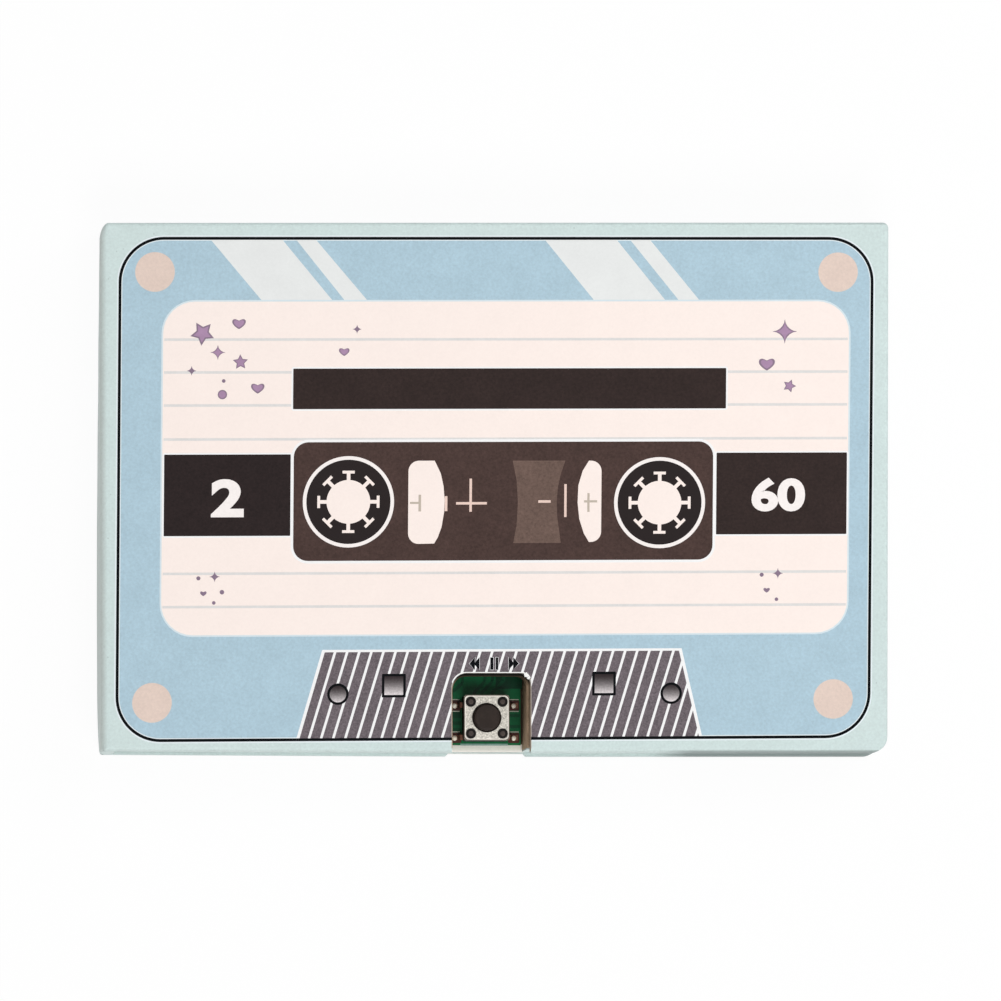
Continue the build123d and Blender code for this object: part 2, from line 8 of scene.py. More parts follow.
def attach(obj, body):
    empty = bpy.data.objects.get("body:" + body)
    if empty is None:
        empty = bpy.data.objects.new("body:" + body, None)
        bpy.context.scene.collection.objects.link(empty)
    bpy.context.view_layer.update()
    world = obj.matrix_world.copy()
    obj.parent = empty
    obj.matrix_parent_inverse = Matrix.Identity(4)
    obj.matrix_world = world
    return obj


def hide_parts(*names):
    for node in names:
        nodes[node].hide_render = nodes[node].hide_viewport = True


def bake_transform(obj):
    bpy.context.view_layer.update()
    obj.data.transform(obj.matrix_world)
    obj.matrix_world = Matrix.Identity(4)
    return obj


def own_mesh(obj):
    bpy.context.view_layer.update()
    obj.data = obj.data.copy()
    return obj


# Recordable greeting card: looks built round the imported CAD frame.
# Shapes are given in millimetres here and become metres when a mesh is made.
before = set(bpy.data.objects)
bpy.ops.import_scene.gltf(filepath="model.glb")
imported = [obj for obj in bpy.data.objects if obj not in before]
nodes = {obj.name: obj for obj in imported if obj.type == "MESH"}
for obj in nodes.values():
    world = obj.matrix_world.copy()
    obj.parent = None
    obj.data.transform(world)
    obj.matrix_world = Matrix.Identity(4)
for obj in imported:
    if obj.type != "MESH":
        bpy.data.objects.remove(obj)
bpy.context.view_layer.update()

MM = 0.001
CARD_TOP = 12.0
CARD_LEFT = -52.0
CARD_RIGHT = 52.0
CARD_LOW = -35.0
CARD_HIGH = 35.0

# The print on the cover: an upright rectangle, laid on the card a little out of true
PRINT_W = 99.7
PRINT_H = 66.3
PRINT_LOW_LEFT = Vector((-49.98, -33.452))
PRINT_LOW_RIGHT = Vector((49.363, -32.783))
PRINT_HIGH_RIGHT = Vector((50.17, 33.08))
PRINT_HIGH_LEFT = Vector((-49.349, 32.741))
INK_STEP = 0.006
INK_SUNK = 0.02

# Notch in the cover
NOTCH_LEFT = -5.735
NOTCH_RIGHT = 4.695
NOTCH_TOP = -24.77
NOTCH_WORN = 0.2
BACK_BITE = 0.38
NOTCH_R_LEFT = 2.0
NOTCH_R_RIGHT = 1.3

# Circuit board and play switch in the notch
BOARD_TOP = 3.65
SWITCH_X = -0.69
SWITCH_Y = -30.2
SWITCH_W = 6.0
PLATE_TOP = 7.05
RIVET_OFF = 2.1
RIVET_TOP = 7.17
PLUNGER_TOP = 7.95


def srgb(red, green, blue):
    """Linear colour of a screen colour given from 0 to 255."""
    linear = []
    for value in (red, green, blue):
        share = value / 255
        linear.append(share / 12.92 if share <= 0.04045 else ((share + 0.055) / 1.055) ** 2.4)
    return (*linear, 1.0)


def scaled(colour, factor):
    """Colour made lighter or darker."""
    return (*[min(1.0, channel * factor) for channel in colour[:3]], 1.0)


def held(value, low=0.0, high=1.0):
    return min(high, max(low, value))


def feed(tree, socket, value):
    """Sets a socket to a number or colour, or joins an output to it."""
    if isinstance(value, bpy.types.NodeSocket):
        tree.links.new(value, socket)
    else:
        socket.default_value = value


def add_node(tree, kind, inputs=None, **settings):
    """Outputs of a new shader node, its sockets fed by name or number."""
    node = tree.nodes.new("ShaderNode" + kind)
    for key, value in settings.items():
        setattr(node, key, value)
    for socket, value in (inputs or {}).items():
        feed(tree, node.inputs[socket], value)
    return node.outputs


class Look:
    """One material, with short ways to add the patterns that the surfaces share."""

    def __init__(self, name, roughness, metallic=0.0, specular=0.5):
        self.material = bpy.data.materials.new(name)
        self.material.use_nodes = True
        self.tree = self.material.node_tree
        self.shader = self.tree.nodes["Principled BSDF"]
        self.set("Roughness", roughness)
        self.set("Metallic", metallic)
        self.set("Specular IOR Level", specular)
        self.place = self.add("TexCoord")["Object"]

    def set(self, socket, value):
        feed(self.tree, self.shader.inputs[socket], value)

    def add(self, kind, inputs=None, **settings):
        return add_node(self.tree, kind, inputs, **settings)

    def stretched(self, stretch):
        """Coordinates squeezed by a factor along each axis, for streaks."""
        return self.add("Mapping", {"Scale": stretch, "Vector": self.place})["Vector"]

    def noise(self, size, detail=4.0, rough=0.55, where=None):
        """Cloudy pattern whose features are about that many millimetres."""
        return self.add("TexNoise", {"Scale": 1 / (size * MM), "Detail": detail, "Roughness": rough,
                                     "Vector": where or self.place})["Fac"]

    def cells(self, size, where=None):
        """Distance to the nearest of scattered points, for flecks and pits."""
        return self.add("TexVoronoi", {"Scale": 1 / (size * MM), "Vector": where or self.place})["Distance"]

    def span(self, value, low, high, out_low=0.0, out_high=1.0):
        """Part of a range of values spread over another range, held at its ends."""
        return self.add("MapRange", {"Value": value, "From Min": low, "From Max": high, "To Min": out_low,
                                     "To Max": out_high}, clamp=True)["Result"]

    def spread(self, pattern, out_low=0.0, out_high=1.0):
        """Middle part of a cloudy pattern, where most of it lies, spread over a range."""
        return self.span(pattern, 0.3, 0.7, out_low, out_high)

    def sum(self, first, second, operation="ADD"):
        return self.add("Math", {0: first, 1: second}, operation=operation)["Value"]

    def times(self, first, second):
        return self.sum(first, second, "MULTIPLY")

    def most(self, first, second):
        return self.sum(first, second, "MAXIMUM")

    def mix(self, factor, first, second, blend="MIX"):
        inputs = {"Factor": factor, 6: first, 7: second}
        return self.add("Mix", inputs, data_type="RGBA", blend_type=blend)[2]

    def axis(self, name):
        """One coordinate of the place, in metres."""
        return self.add("SeparateXYZ", {"Vector": self.place})[name]

    def past(self, name, start, full, out_low=0.0, out_high=1.0):
        """0 up to a place on an axis and 1 from another on, both in millimetres."""
        return self.span(self.axis(name), start * MM, full * MM, out_low, out_high)

    def between(self, name, low, high, soft=0.1):
        """1 between two places on an axis, in millimetres, and 0 beyond them."""
        return self.times(self.past(name, low, low + soft), self.past(name, high, high - soft))

    def colour(self, value):
        self.set("Base Color", value)

    def roughness(self, value):
        self.set("Roughness", value)

    def bump(self, height, distance):
        """Relief of that many millimetres."""
        relief = {"Strength": 1.0, "Distance": distance * MM, "Height": height}
        self.set("Normal", self.add("Bump", relief)["Normal"])


def mottled(look, colour, cloud, grain, cloud_size=4.0, grain_size=0.35):
    """Colour with slow clouds and a fine grain over it."""
    clouds = look.spread(look.noise(cloud_size, 3.0))
    base = look.mix(clouds, scaled(colour, 1 - cloud), scaled(colour, 1 + cloud))
    fine = look.noise(grain_size, 6.0, 0.65)
    shade = look.spread(fine, 1 - grain, 1 + grain)
    return look.mix(1.0, base, shade, "MULTIPLY"), fine


# Painted shade for the notch's cut walls, and painted shadow for the notch's inner end
NOTCH_WALL_SHADE = srgb(84, 70, 58)
NOTCH_END_SHADOW = srgb(12, 17, 12)


def round_notch(look, margin, low, high, soft=0.1):
    """1 over the notch's width and a margin, between two places along the card, and 0 elsewhere."""
    across = look.between("X", NOTCH_LEFT - margin, NOTCH_RIGHT + margin, 0.02)
    return look.times(across, look.between("Y", low, high, soft))


def notch_wall_shade(look):
    """Painted shade of the notch's cut walls, dark brown, and painted shadow, nearly black, at its inner
    end.
    """
    return look.mix(look.past("Y", -26.5, -25.6), NOTCH_WALL_SHADE, NOTCH_END_SHADOW)


def paper(name, colour, cloud=0.03, grain=0.04, roughness=0.62, relief=0.012, specular=0.3, grain_size=0.35,
          shaded_notch=False):
    """Matt coated paper, blank or printed, with painted shade on the notch's cut walls when asked for."""
    look = Look(name, roughness, specular=specular)
    shade, fine = mottled(look, colour, cloud, grain, grain_size=grain_size)
    if shaded_notch:
        rim = round_notch(look, 0.06, CARD_LOW - 1, NOTCH_TOP + NOTCH_WORN + 0.15)
        shade = look.mix(rim, shade, notch_wall_shade(look))
    look.colour(shade)
    look.roughness(look.spread(fine, roughness - 0.08, roughness + 0.08))
    look.bump(fine, relief)
    return look.material


def case_paper(name, colour, top_only):
    """Coated paper of the case: scuffed edges, small specks, faint dents, greyed spine and foot sides, and
    painted shade on the foot side towards the right.
    """
    look = Look(name, 0.6, specular=0.28)
    shade, fine = mottled(look, colour, 0.022, 0.065, cloud_size=6.0)
    spine = look.past("X", -51.2, -51.9)
    ends = look.most(look.past("Y", 34.2, 34.9), look.past("Y", -34.2, -34.9))
    rim = look.most(look.most(look.past("X", 51.2, 51.9), ends), spine)
    rubbed = look.span(look.noise(1.4, 8.0, 0.72), 0.44, 0.62)
    worn = look.mix(look.times(look.times(rim, rubbed), 0.5), shade, scaled(colour, 1.12))
    grime = look.times(look.span(look.noise(0.5, 8.0, 0.75), 0.56, 0.68), rim)
    worn = look.mix(look.times(grime, 0.35), worn, scaled(colour, 0.62))
    specks = look.span(look.cells(2.6), 0.035, 0.05, 0.4, 0.0)
    worn = look.mix(specks, worn, scaled(colour, 0.55))
    pale = look.span(look.cells(1.7, look.stretched((1.0, 1.3, 1.0))), 0.03, 0.05, 0.5, 0.0)
    worn = look.mix(pale, worn, scaled(colour, 1.2))
    foot = -34.6 if top_only else -34.3
    foot_side = look.past("Y", foot, foot - 0.35)
    # Spine and, less, the foot side greyed towards a warm grey
    greyed_sides = look.times(look.most(look.times(foot_side, 0.3), spine), 0.36)
    worn = look.mix(greyed_sides, worn, srgb(184, 180, 172))
    # Painted shade on the foot side, from about 21 mm right of the middle out to the right end
    painted_foot_shade = look.times(foot_side, look.past("X", 21.2, 26.2, 0.0, 0.8))
    worn = look.mix(painted_foot_shade, worn, scaled(colour, 0.34))
    # Painted shade: the notch's right wall dark brown, and its inner end nearly black as painted shadow
    wall = look.times(look.between("X", NOTCH_RIGHT - 0.38, NOTCH_RIGHT + 0.1, 0.02),
                      look.between("Z", 2.4, 11.85, 0.05))
    above_foot = look.past("Y", -34.5, -33.9 if top_only else -34.2)
    near = look.times(wall, look.times(above_foot, look.past("Y", -24.6, -24.7)))
    inner_end = look.times(round_notch(look, 0.1, -25.9, NOTCH_TOP + NOTCH_WORN + 0.4, 0.3),
                           look.between("Z", 2.4, 11.88, 0.05))
    look.colour(look.mix(look.most(near, inner_end), worn, notch_wall_shade(look)))
    look.roughness(look.spread(fine, 0.52, 0.7))
    dents = look.noise(3.0 if top_only else 2.2, 2.0)
    look.bump(look.sum(look.times(dents, 6.0), fine), 0.012)
    return look.material


LINING = srgb(246, 240, 231)


def board_paper(name, colour, shadowed_notch_end=False, lined=False):
    """Raw grey board, felted in thin layers, with a painted shadow, nearly black, at the notch's inner end
    when asked for.

    Where the cover and the spine meet it has the lining's paper over it if lined.
    """
    look = Look(name, 0.9, specular=0.12)
    layers = look.noise(0.25, 5.0, 0.6, look.stretched((0.12, 0.12, 1.0)))
    fibres = look.noise(0.18, 6.0, 0.7)
    flecks = look.span(look.cells(0.5), 0.02, 0.14)
    base = look.mix(look.span(layers, 0.35, 0.65), scaled(colour, 0.72), scaled(colour, 1.15))
    base = look.mix(flecks, scaled(colour, 0.5), base)
    base = look.mix(0.5, base, look.spread(fibres, 0.6, 1.3), "MULTIPLY")
    if shadowed_notch_end:
        # Painted shadow: the board darkened nearly to black at the notch's inner end
        end_shadow = look.times(round_notch(look, 0.5, -26.2, -23.2, 1.1), 0.92)
        base = look.mix(end_shadow, base, scaled(colour, 0.1))
    if lined:
        end = look.times(look.between("X", -60, -49.9), look.between("Z", 9.5, 13))
        base = look.mix(end, base, LINING)
    look.colour(base)
    look.bump(look.sum(layers, fibres), 0.05)
    return look.material


def metal(name, colour, roughness, streak=(1.0, 0.05, 1.0), relief=0.004, grain=0.06):
    """Sheet or plated metal with fine drawn streaks, dull patches and a sandy grain."""
    look = Look(name, roughness, metallic=1.0)
    streaks = look.noise(0.05, 4.0, 0.6, look.stretched(streak))
    dull = look.noise(1.6, 4.0)
    sand = look.noise(0.2, 4.0, 0.7)
    base = look.mix(look.span(dull, 0.35, 0.65), scaled(colour, 0.9), colour)
    shade = look.span(sand, 0.35, 0.65, 1 - grain, 1 + grain)
    look.colour(look.mix(1.0, base, shade, "MULTIPLY"))
    rough = look.sum(look.spread(streaks, -0.06, 0.06), look.spread(dull, -0.05, 0.08))
    look.roughness(look.sum(rough, roughness))
    look.bump(streaks, relief)
    return look.material


def plastic(name, colour, roughness, relief=0.006, size=0.12, coat=0.0, specular=0.5, dusty=1.35):
    """Moulded plastic with a fine spark-eroded texture."""
    look = Look(name, roughness, specular=specular)
    fine = look.noise(size, 3.0)
    dust = look.noise(1.2, 5.0, 0.7)
    look.colour(look.mix(look.span(dust, 0.45, 0.75), colour, scaled(colour, dusty)))
    look.roughness(look.spread(dust, roughness - 0.06, roughness + 0.1))
    look.set("Coat Weight", coat)
    look.bump(fine, relief)
    return look.material


def foam(name, colour):
    look = Look(name, 0.95, specular=0.1)
    pores = look.span(look.cells(0.3), 0.0, 0.3)
    look.colour(look.mix(pores, scaled(colour, 0.5), colour))
    look.bump(pores, 0.08)
    return look.material


def solder_mask(name, colour):
    """Glossy green lacquer over woven glass."""
    look = Look(name, 0.34, specular=0.16)
    weave = look.noise(0.5, 2.0, 0.5, look.stretched((1.0, 0.2, 1.0)))
    cloud = look.noise(2.5, 4.0)
    base = look.mix(look.spread(cloud), scaled(colour, 0.7), scaled(colour, 1.3))
    look.colour(look.mix(look.span(weave, 0.4, 0.6, 0.0, 0.3), base, scaled(colour, 1.45)))
    look.roughness(look.spread(cloud, 0.28, 0.42))
    look.bump(weave, 0.006)
    return look.material


def dress(material, *names):
    """Gives CAD nodes a material in all their slots."""
    for name in names:
        node = nodes[name]
        for material_slot in node.material_slots:
            material_slot.material = material
        if not node.material_slots:
            node.data.materials.append(material)
    return material


# Materials, and the CAD nodes that wear them
mint = srgb(208, 224, 222)
cover_paper = dress(case_paper("cover_paper", mint, True), "cover_wrap")
mint_paper = dress(case_paper("mint_paper", mint, False), "back_wrap", "spine_wrap", "tray_wrap")
dress(paper("lining_paper", LINING, roughness=0.8, relief=0.03, specular=0.15, shaded_notch=True),
      "cover_liner", "back_liner")
dress(paper("page_paper", srgb(240, 235, 224), roughness=0.82, relief=0.04, specular=0.15, shaded_notch=True),
      "inner_page")
ledge_paper = paper("ledge_paper", srgb(252, 248, 240), 0.02, 0.05, 0.8, relief=0.03, specular=0.15)
core_paper = paper("core_paper", srgb(250, 250, 247), 0.02, 0.03, 0.85, relief=0.03, specular=0.1)
case_board = dress(board_paper("case_board", srgb(184, 160, 136), True, True),
                   "cover_board", "back_board", "spine_board")
dress(board_paper("tray_board", srgb(184, 158, 131), True), "tray_layer_1", "tray_layer_2", "tray_deck")
dress(solder_mask("green_mask", srgb(12, 96, 56)), "pcb")
trace_green = solder_mask("trace_green", srgb(8, 74, 45))
edge_highlight_green = solder_mask("edge_highlight_green", srgb(132, 166, 156))
# Darker green for painted shadow on the board
shadow_green = solder_mask("shadow_green", srgb(5, 58, 35))
silk_white = paper("silk_white", srgb(190, 194, 178), 0.05, 0.08, specular=0.2)
flux_brown = plastic("flux_brown", srgb(72, 38, 32), 0.4, relief=0.02, size=0.3, specular=0.2)
dress(foam("white_foam", srgb(225, 225, 222)), "pcb_tape")
black_plastic = dress(plastic("black_plastic", srgb(26, 23, 22), 0.55, specular=0.1),
                      "play_switch_base", "record_switch_base", "transistor")
button_plastic = dress(plastic("button_plastic", srgb(44, 36, 32), 0.5, 0.014, specular=0.12, dusty=1.5),
                       "play_switch_plunger", "record_switch_plunger")
rivet_plastic = plastic("rivet_plastic", srgb(62, 53, 49), 0.5, specular=0.25, dusty=2.2)
plate_steel = dress(metal("plate_steel", srgb(184, 180, 171), 0.42, relief=0.012, grain=0.45),
                    "play_switch_plate", "record_switch_plate", "play_switch_dome", "record_switch_dome")
# Painted shade for the plate's rolled edge, and painted highlight for the line inside it
plate_edge_shade = metal("plate_edge_shade", srgb(104, 96, 88), 0.5)
plate_rim_highlight = metal("plate_rim_highlight", srgb(216, 211, 202), 0.34)
dress(metal("cell_steel", srgb(208, 206, 200), 0.25), "button_cell_1", "button_cell_2", "button_cell_3",
      "speaker_basket", "speaker_yoke", "speaker_pole_plate")
dress(metal("clip_tin", srgb(215, 213, 208), 0.3), "cell_clip_1", "cell_clip_2", "cell_clip_3")
dress(metal("leg_tin", srgb(218, 212, 196), 0.32), "record_switch_legs", "microphone_pins")
# Dark copper brown on the play switch's legs: painted shade
leg_shade = dress(metal("leg_shade", srgb(118, 84, 70), 0.5, relief=0.01), "play_switch_legs")
dress(metal("solder", srgb(232, 224, 204), 0.3, streak=(1.0, 1.0, 1.0), relief=0.02), "solder_joints")
# Near-white colour of the solder drops: painted highlight
bead_highlight = plastic("bead_highlight", srgb(250, 243, 224), 0.3, relief=0.02, size=0.2, dusty=1.0)
dress(plastic("resin", srgb(22, 22, 24), 0.18, relief=0.03, size=2.0, coat=0.4), "chip_blob")
dress(plastic("chip_black", srgb(38, 38, 42), 0.35), "resistors")
dress(plastic("chip_tan", srgb(176, 148, 112), 0.45), "capacitors")
dress(metal("can_metal", srgb(218, 218, 220), 0.3), "microphone")
dress(plastic("ferrite", srgb(72, 72, 76), 0.55, relief=0.02), "speaker_magnet")
dress(metal("copper", srgb(196, 124, 78), 0.35, streak=(1.0, 1.0, 0.05)), "speaker_voice_coil")
dress(plastic("cone_film", srgb(214, 218, 216), 0.3), "speaker_cone")
dress(board_paper("gasket_card", srgb(70, 64, 58)), "speaker_gasket")
dress(plastic("phenolic", srgb(146, 98, 58), 0.5), "speaker_lug_board")
dress(foam("black_foam", srgb(52, 52, 54)), "speaker_pad")
dress(plastic("red_pvc", srgb(186, 32, 30), 0.32), "speaker_wire_red")
dress(plastic("black_pvc", srgb(36, 36, 38), 0.32), "speaker_wire_black")

# Angles in degrees beyond which an edge stays sharp: on the case, on bent pieces and on round ones
CASE_SHARP = 34
BENT_SHARP = 40
ROUND_SHARP = 50


# Meshes
def new_object(name, data):
    made = bpy.data.objects.new(name, data)
    bpy.context.scene.collection.objects.link(made)
    return made


def placed(name, mesh, material, body):
    """Object with one material, riding on a body."""
    mesh.materials.clear()
    mesh.materials.append(material)
    piece = new_object(name, mesh)
    if body:
        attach(piece, body)
    return piece


def smooth(mesh, degrees):
    """Shades a mesh smooth, but for its edges beyond an angle."""
    mesh.shade_smooth()
    mesh.set_sharp_from_angle(angle=math.radians(degrees))


def new_piece(name, points, faces, material, body, slot_name, sharp_angle=None):
    """Mesh piece from points in millimetres."""
    mesh = bpy.data.meshes.new(name)
    mesh.from_pydata([Vector(point) * MM for point in points], [], faces)
    mesh.validate()
    if sharp_angle:
        smooth(mesh, sharp_angle)
    return placed(name, mesh, material, body)


def joined(parts):
    """Several sets of points and faces as one."""
    points, faces = [], []
    for part_points, part_faces in parts:
        start = len(points)
        points += part_points
        faces += [[index + start for index in face] for face in part_faces]
    return points, faces


def area(loop):
    """Signed area of a flat loop."""
    return sum(x0 * y1 - x1 * y0 for (x0, y0), (x1, y1) in zip(loop, loop[1:] + loop[:1])) / 2


def anticlockwise(loop):
    """Loop, turned round if it runs clockwise."""
    loop = list(loop)
    return loop if area(loop) > 0 else loop[::-1]


def skirt(low, high, count):
    """Faces between two rings of points, each ring given by the number of its first point."""
    return [[low + a, low + (a + 1) % count, high + (a + 1) % count, high + a] for a in range(count)]


def slab(loop, z0, z1):
    """Flat shape raised between two levels."""
    loop = anticlockwise(loop)
    count = len(loop)
    points = [(x, y, z) for z in (z0, z1) for x, y in loop]
    return points, [list(range(count))[::-1], list(range(count, 2 * count))] + skirt(0, count, count)


def loft(rings, capped=True):
    """Skin over rings of equally many points, run so that the skin faces outwards."""
    count = len(rings[0])
    points = [point for ring in rings for point in ring]
    faces = []
    for level in range(len(rings) - 1):
        faces += skirt(level * count, (level + 1) * count, count)
    if capped:
        faces.append(list(range(count))[::-1])
        faces.append([(len(rings) - 1) * count + index for index in range(count)])
    return points, faces


def band(outer, inner, z0, z1):
    """Flat ring between two loops of equally many points."""
    outer, inner = anticlockwise(outer), anticlockwise(inner)
    section = ((outer, z0), (outer, z1), (inner, z1), (inner, z0))
    points, faces = loft([[(x, y, z) for x, y in loop] for loop, z in section], capped=False)
    return points, faces + skirt(3 * len(outer), 0, len(outer))


def ribbon(left, right, z0, z1):
    """Flat strip between two open lines of equally many points."""
    loop = list(left) + list(right)[::-1]
    points = [(x, y, z) for z in (z0, z1) for x, y in loop]
    total = len(loop)
    faces = []
    for a in range(len(left) - 1):
        quad = [a, a + 1, total - 2 - a, total - 1 - a]
        faces += [quad[::-1], [index + total for index in quad]]
    faces += skirt(0, total, total)
    return points, ([face[::-1] for face in faces] if area(loop) < 0 else faces)


def polar(x, y, radius, degrees):
    """Point at a distance from a place, in a direction."""
    angle = math.radians(degrees)
    return x + radius * math.cos(angle), y + radius * math.sin(angle)


def lathe(profile, x, y, steps):
    """Solid of revolution about an upright axis. The profile runs outside from its foot to its middle."""
    turns = [360 * step / steps for step in range(steps)]
    return loft([[(*polar(x, y, radius, degrees), z) for degrees in turns] for radius, z in profile])


# Flat shapes
def arc(x, y, radius, start, end, steps):
    """Points on an arc, its angles in degrees."""
    return [polar(x, y, radius, start + (end - start) * step / steps) for step in range(steps + 1)]


def circle(x, y, radius, steps=48):
    return arc(x, y, radius, 0, 360 - 360 / steps, steps - 1)


def rounded(x0, x1, y0, y1, radius, steps=8):
    """Rectangle with round corners."""
    centres = ((x1 - radius, y1 - radius), (x0 + radius, y1 - radius), (x0 + radius, y0 + radius),
               (x1 - radius, y0 + radius))
    corners = [arc(x, y, radius, 90 * index, 90 * index + 90, steps) for index, (x, y) in enumerate(centres)]
    return [point for corner in corners for point in corner]


def rectangle(x0, x1, y0, y1):
    return [(x0, y0), (x1, y0), (x1, y1), (x0, y1)]


def star(x, y, radius, points, waist, turn):
    """Star with straight sides, its first point at an angle in degrees."""
    return [polar(x, y, radius if index % 2 == 0 else radius * waist, turn + 180 / points * index)
            for index in range(2 * points)]


def shrunk(loop, share):
    """Loop drawn in towards its middle."""
    x = sum(point[0] for point in loop) / len(loop)
    y = sum(point[1] for point in loop) / len(loop)
    return [(x + (a - x) * share, y + (b - y) * share) for a, b in loop]


def turned_loop(loop, x, y, degrees):
    """Loop turned about the origin and moved to a place."""
    angle = math.radians(degrees)
    return [(x + a * math.cos(angle) - b * math.sin(angle), y + a * math.sin(angle) + b * math.cos(angle))
            for a, b in loop]


def sparkle(x, y, radius, steps=5):
    """Four-pointed twinkle with hollow sides."""
    side = [(radius * (1 - step / steps) ** 1.7, radius * (step / steps) ** 1.7) for step in range(steps)]
    return [point for quarter in range(4) for point in turned_loop(side, x, y, 90 * quarter)]


def heart(x, y, width, steps=40):
    """Wide heart of that width, centred."""
    outline = []
    for step in range(steps):
        t = 2 * math.pi * step / steps
        px = 16 * math.sin(t) * abs(math.sin(t)) ** 0.7
        py = 12 * math.cos(t) - 4 * math.cos(2 * t) - 1.3 * math.cos(3 * t) - 0.5 * math.cos(4 * t)
        outline.append((x + px * width / 32, y + 0.93 * (py + 2.6) * width / 32))
    return outline


def clipped(loop, window):
    """Part of a loop inside a convex window."""
    window = anticlockwise(window)
    for (ax, ay), (bx, by) in zip(window, window[1:] + window[:1]):
        kept = []
        for (px, py), (qx, qy) in zip(loop, loop[1:] + loop[:1]):
            p_side = (bx - ax) * (py - ay) - (by - ay) * (px - ax)
            q_side = (bx - ax) * (qy - ay) - (by - ay) * (qx - ax)
            if p_side >= 0:
                kept.append((px, py))
            if (p_side > 0 > q_side) or (p_side < 0 < q_side):
                t = p_side / (p_side - q_side)
                kept.append((px + (qx - px) * t, py + (qy - py) * t))
        loop = kept
        if len(loop) < 3:
            return []
    return loop


def on_card(u, v):
    """Where a point of the upright print lies on the cover."""
    across = u / PRINT_W + 0.5
    up = v / PRINT_H + 0.5
    low = PRINT_LOW_LEFT.lerp(PRINT_LOW_RIGHT, across)
    high = PRINT_HIGH_LEFT.lerp(PRINT_HIGH_RIGHT, across)
    place = low.lerp(high, up)
    return place.x, place.y


# The case as it has settled in use: its spine leans in a little at the foot, most at the two ends,
# and the top end of the spine is pinched.
SPINE_IN = -50.0


def out_of_true(x, y):
    """How far the case's outer edges stand off a true rectangle, along the width and up."""
    across = held((x - CARD_LEFT) / (CARD_RIGHT - CARD_LEFT))
    up = held((y - CARD_LOW) / (CARD_HIGH - CARD_LOW))
    aside = (0.47 * up - 0.04) * held((x - 42) / 9)
    high = (0.42 * across - 0.26) * held((y - 30) / 4.5)
    low = (0.15 * (1 - across) - 0.13 * math.sin(math.pi * across)) * held((-30 - y) / 4.5)
    return aside, high + low


def notch_wear(x, y, z):
    """How far up the edges at the notch have moved: a deeper cut above, a bite in the back's front edge."""
    if z > 9:
        inside = NOTCH_LEFT - 0.1 < x < NOTCH_RIGHT + 0.1
        return NOTCH_WORN * held((y + 27) / 2) * held((-22.5 - y) / 2) if inside else 0.0
    share = held((x - NOTCH_LEFT) / 0.35) * held((NOTCH_RIGHT + 0.25 - x) / 0.35)
    return BACK_BITE * share * held((-34.3 - y) / 0.5)


def settled(point):
    """Where a point of the case lies, from its place in the CAD model, both in metres."""
    x, y, z = point / MM
    aside, up = out_of_true(x, y)
    share = held((SPINE_IN - x) / 2)
    high_end = held((y + 20) / 55) ** 1.7
    low_end = held((-26 - y) / 9) ** 2
    lean = 0.2 + 0.5 * high_end + 0.3 * low_end
    ripple = 0.05 * noise.noise(Vector((0, y / 9, z / 6)))
    pinch = 0.7 * held((y - 32.7) / 2.3) ** 2
    x += aside + share * (lean * held((10.3 - z) / 9) + pinch + ripple * held((11 - z) / 3))
    return Vector((x, y + up + notch_wear(x, y, z), z)) * MM


def settled_copy(name, node, material, body):
    """Finely divided copy of a board or sheet, settled as the case is, in place of the node."""
    work = bmesh.new()
    work.from_mesh(nodes[node].data)
    bmesh.ops.remove_doubles(work, verts=work.verts[:], dist=1e-7)
    cuts = [(0, SPINE_IN - 0.4 * step) for step in range(5)]
    cuts += [(0, x) for x in (NOTCH_LEFT, NOTCH_LEFT + 0.35, NOTCH_RIGHT - 0.1, NOTCH_RIGHT + 0.25)]
    cuts += [(1, -32.5 + 2.5 * step) for step in range(27)]
    cuts += [(1, side * (34.75 - 0.35 * step)) for side in (-1, 1) for step in range(6)]
    cuts += [(2, 1.5 * step) for step in range(1, 8)]
    for axis, spot in cuts:
        normal = Vector([1.0 if index == axis else 0.0 for index in range(3)])
        bmesh.ops.bisect_plane(work, geom=work.verts[:] + work.edges[:] + work.faces[:],
                               plane_co=normal * spot * MM, plane_no=normal, dist=1e-8)
    for vertex in work.verts:
        vertex.co = settled(vertex.co)
    mesh = bpy.data.meshes.new(name)
    work.to_mesh(mesh)
    work.free()
    smooth(mesh, CASE_SHARP)
    piece = placed(name, mesh, material, body)
    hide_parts(node)


for part, body, sheet, slot_name in (("cover", "cover", cover_paper, "printed_paper"),
                                     ("spine", "base", mint_paper, "mint_paper"),
                                     ("back", "base", mint_paper, "mint_paper")):
    settled_copy(part + "_sheet", part + "_wrap", sheet, body)
    settled_copy(part + "_core", part + "_board", case_board, body)

# Paper crease that joins the cover to the spine
FOLD_R = 1.0
CREASE_T = 0.1
CREASE_HALF = 34.2
CREASE_STATIONS = 57


def crease_line():
    """Line across the crease, from the spine's face to the cover's, as x, z and outward direction."""
    line = [(CARD_LEFT, 9.4 + 0.4 * step, 180.0) for step in range(4)]
    for step in range(13):
        angle = 180 - 90 * step / 12
        line.append((*polar(CARD_LEFT + FOLD_R, CARD_TOP - FOLD_R, FOLD_R, angle), angle))
    line += [(CARD_LEFT + FOLD_R + 0.2 * step, CARD_TOP, 90.0) for step in (1, 2)]
    return line


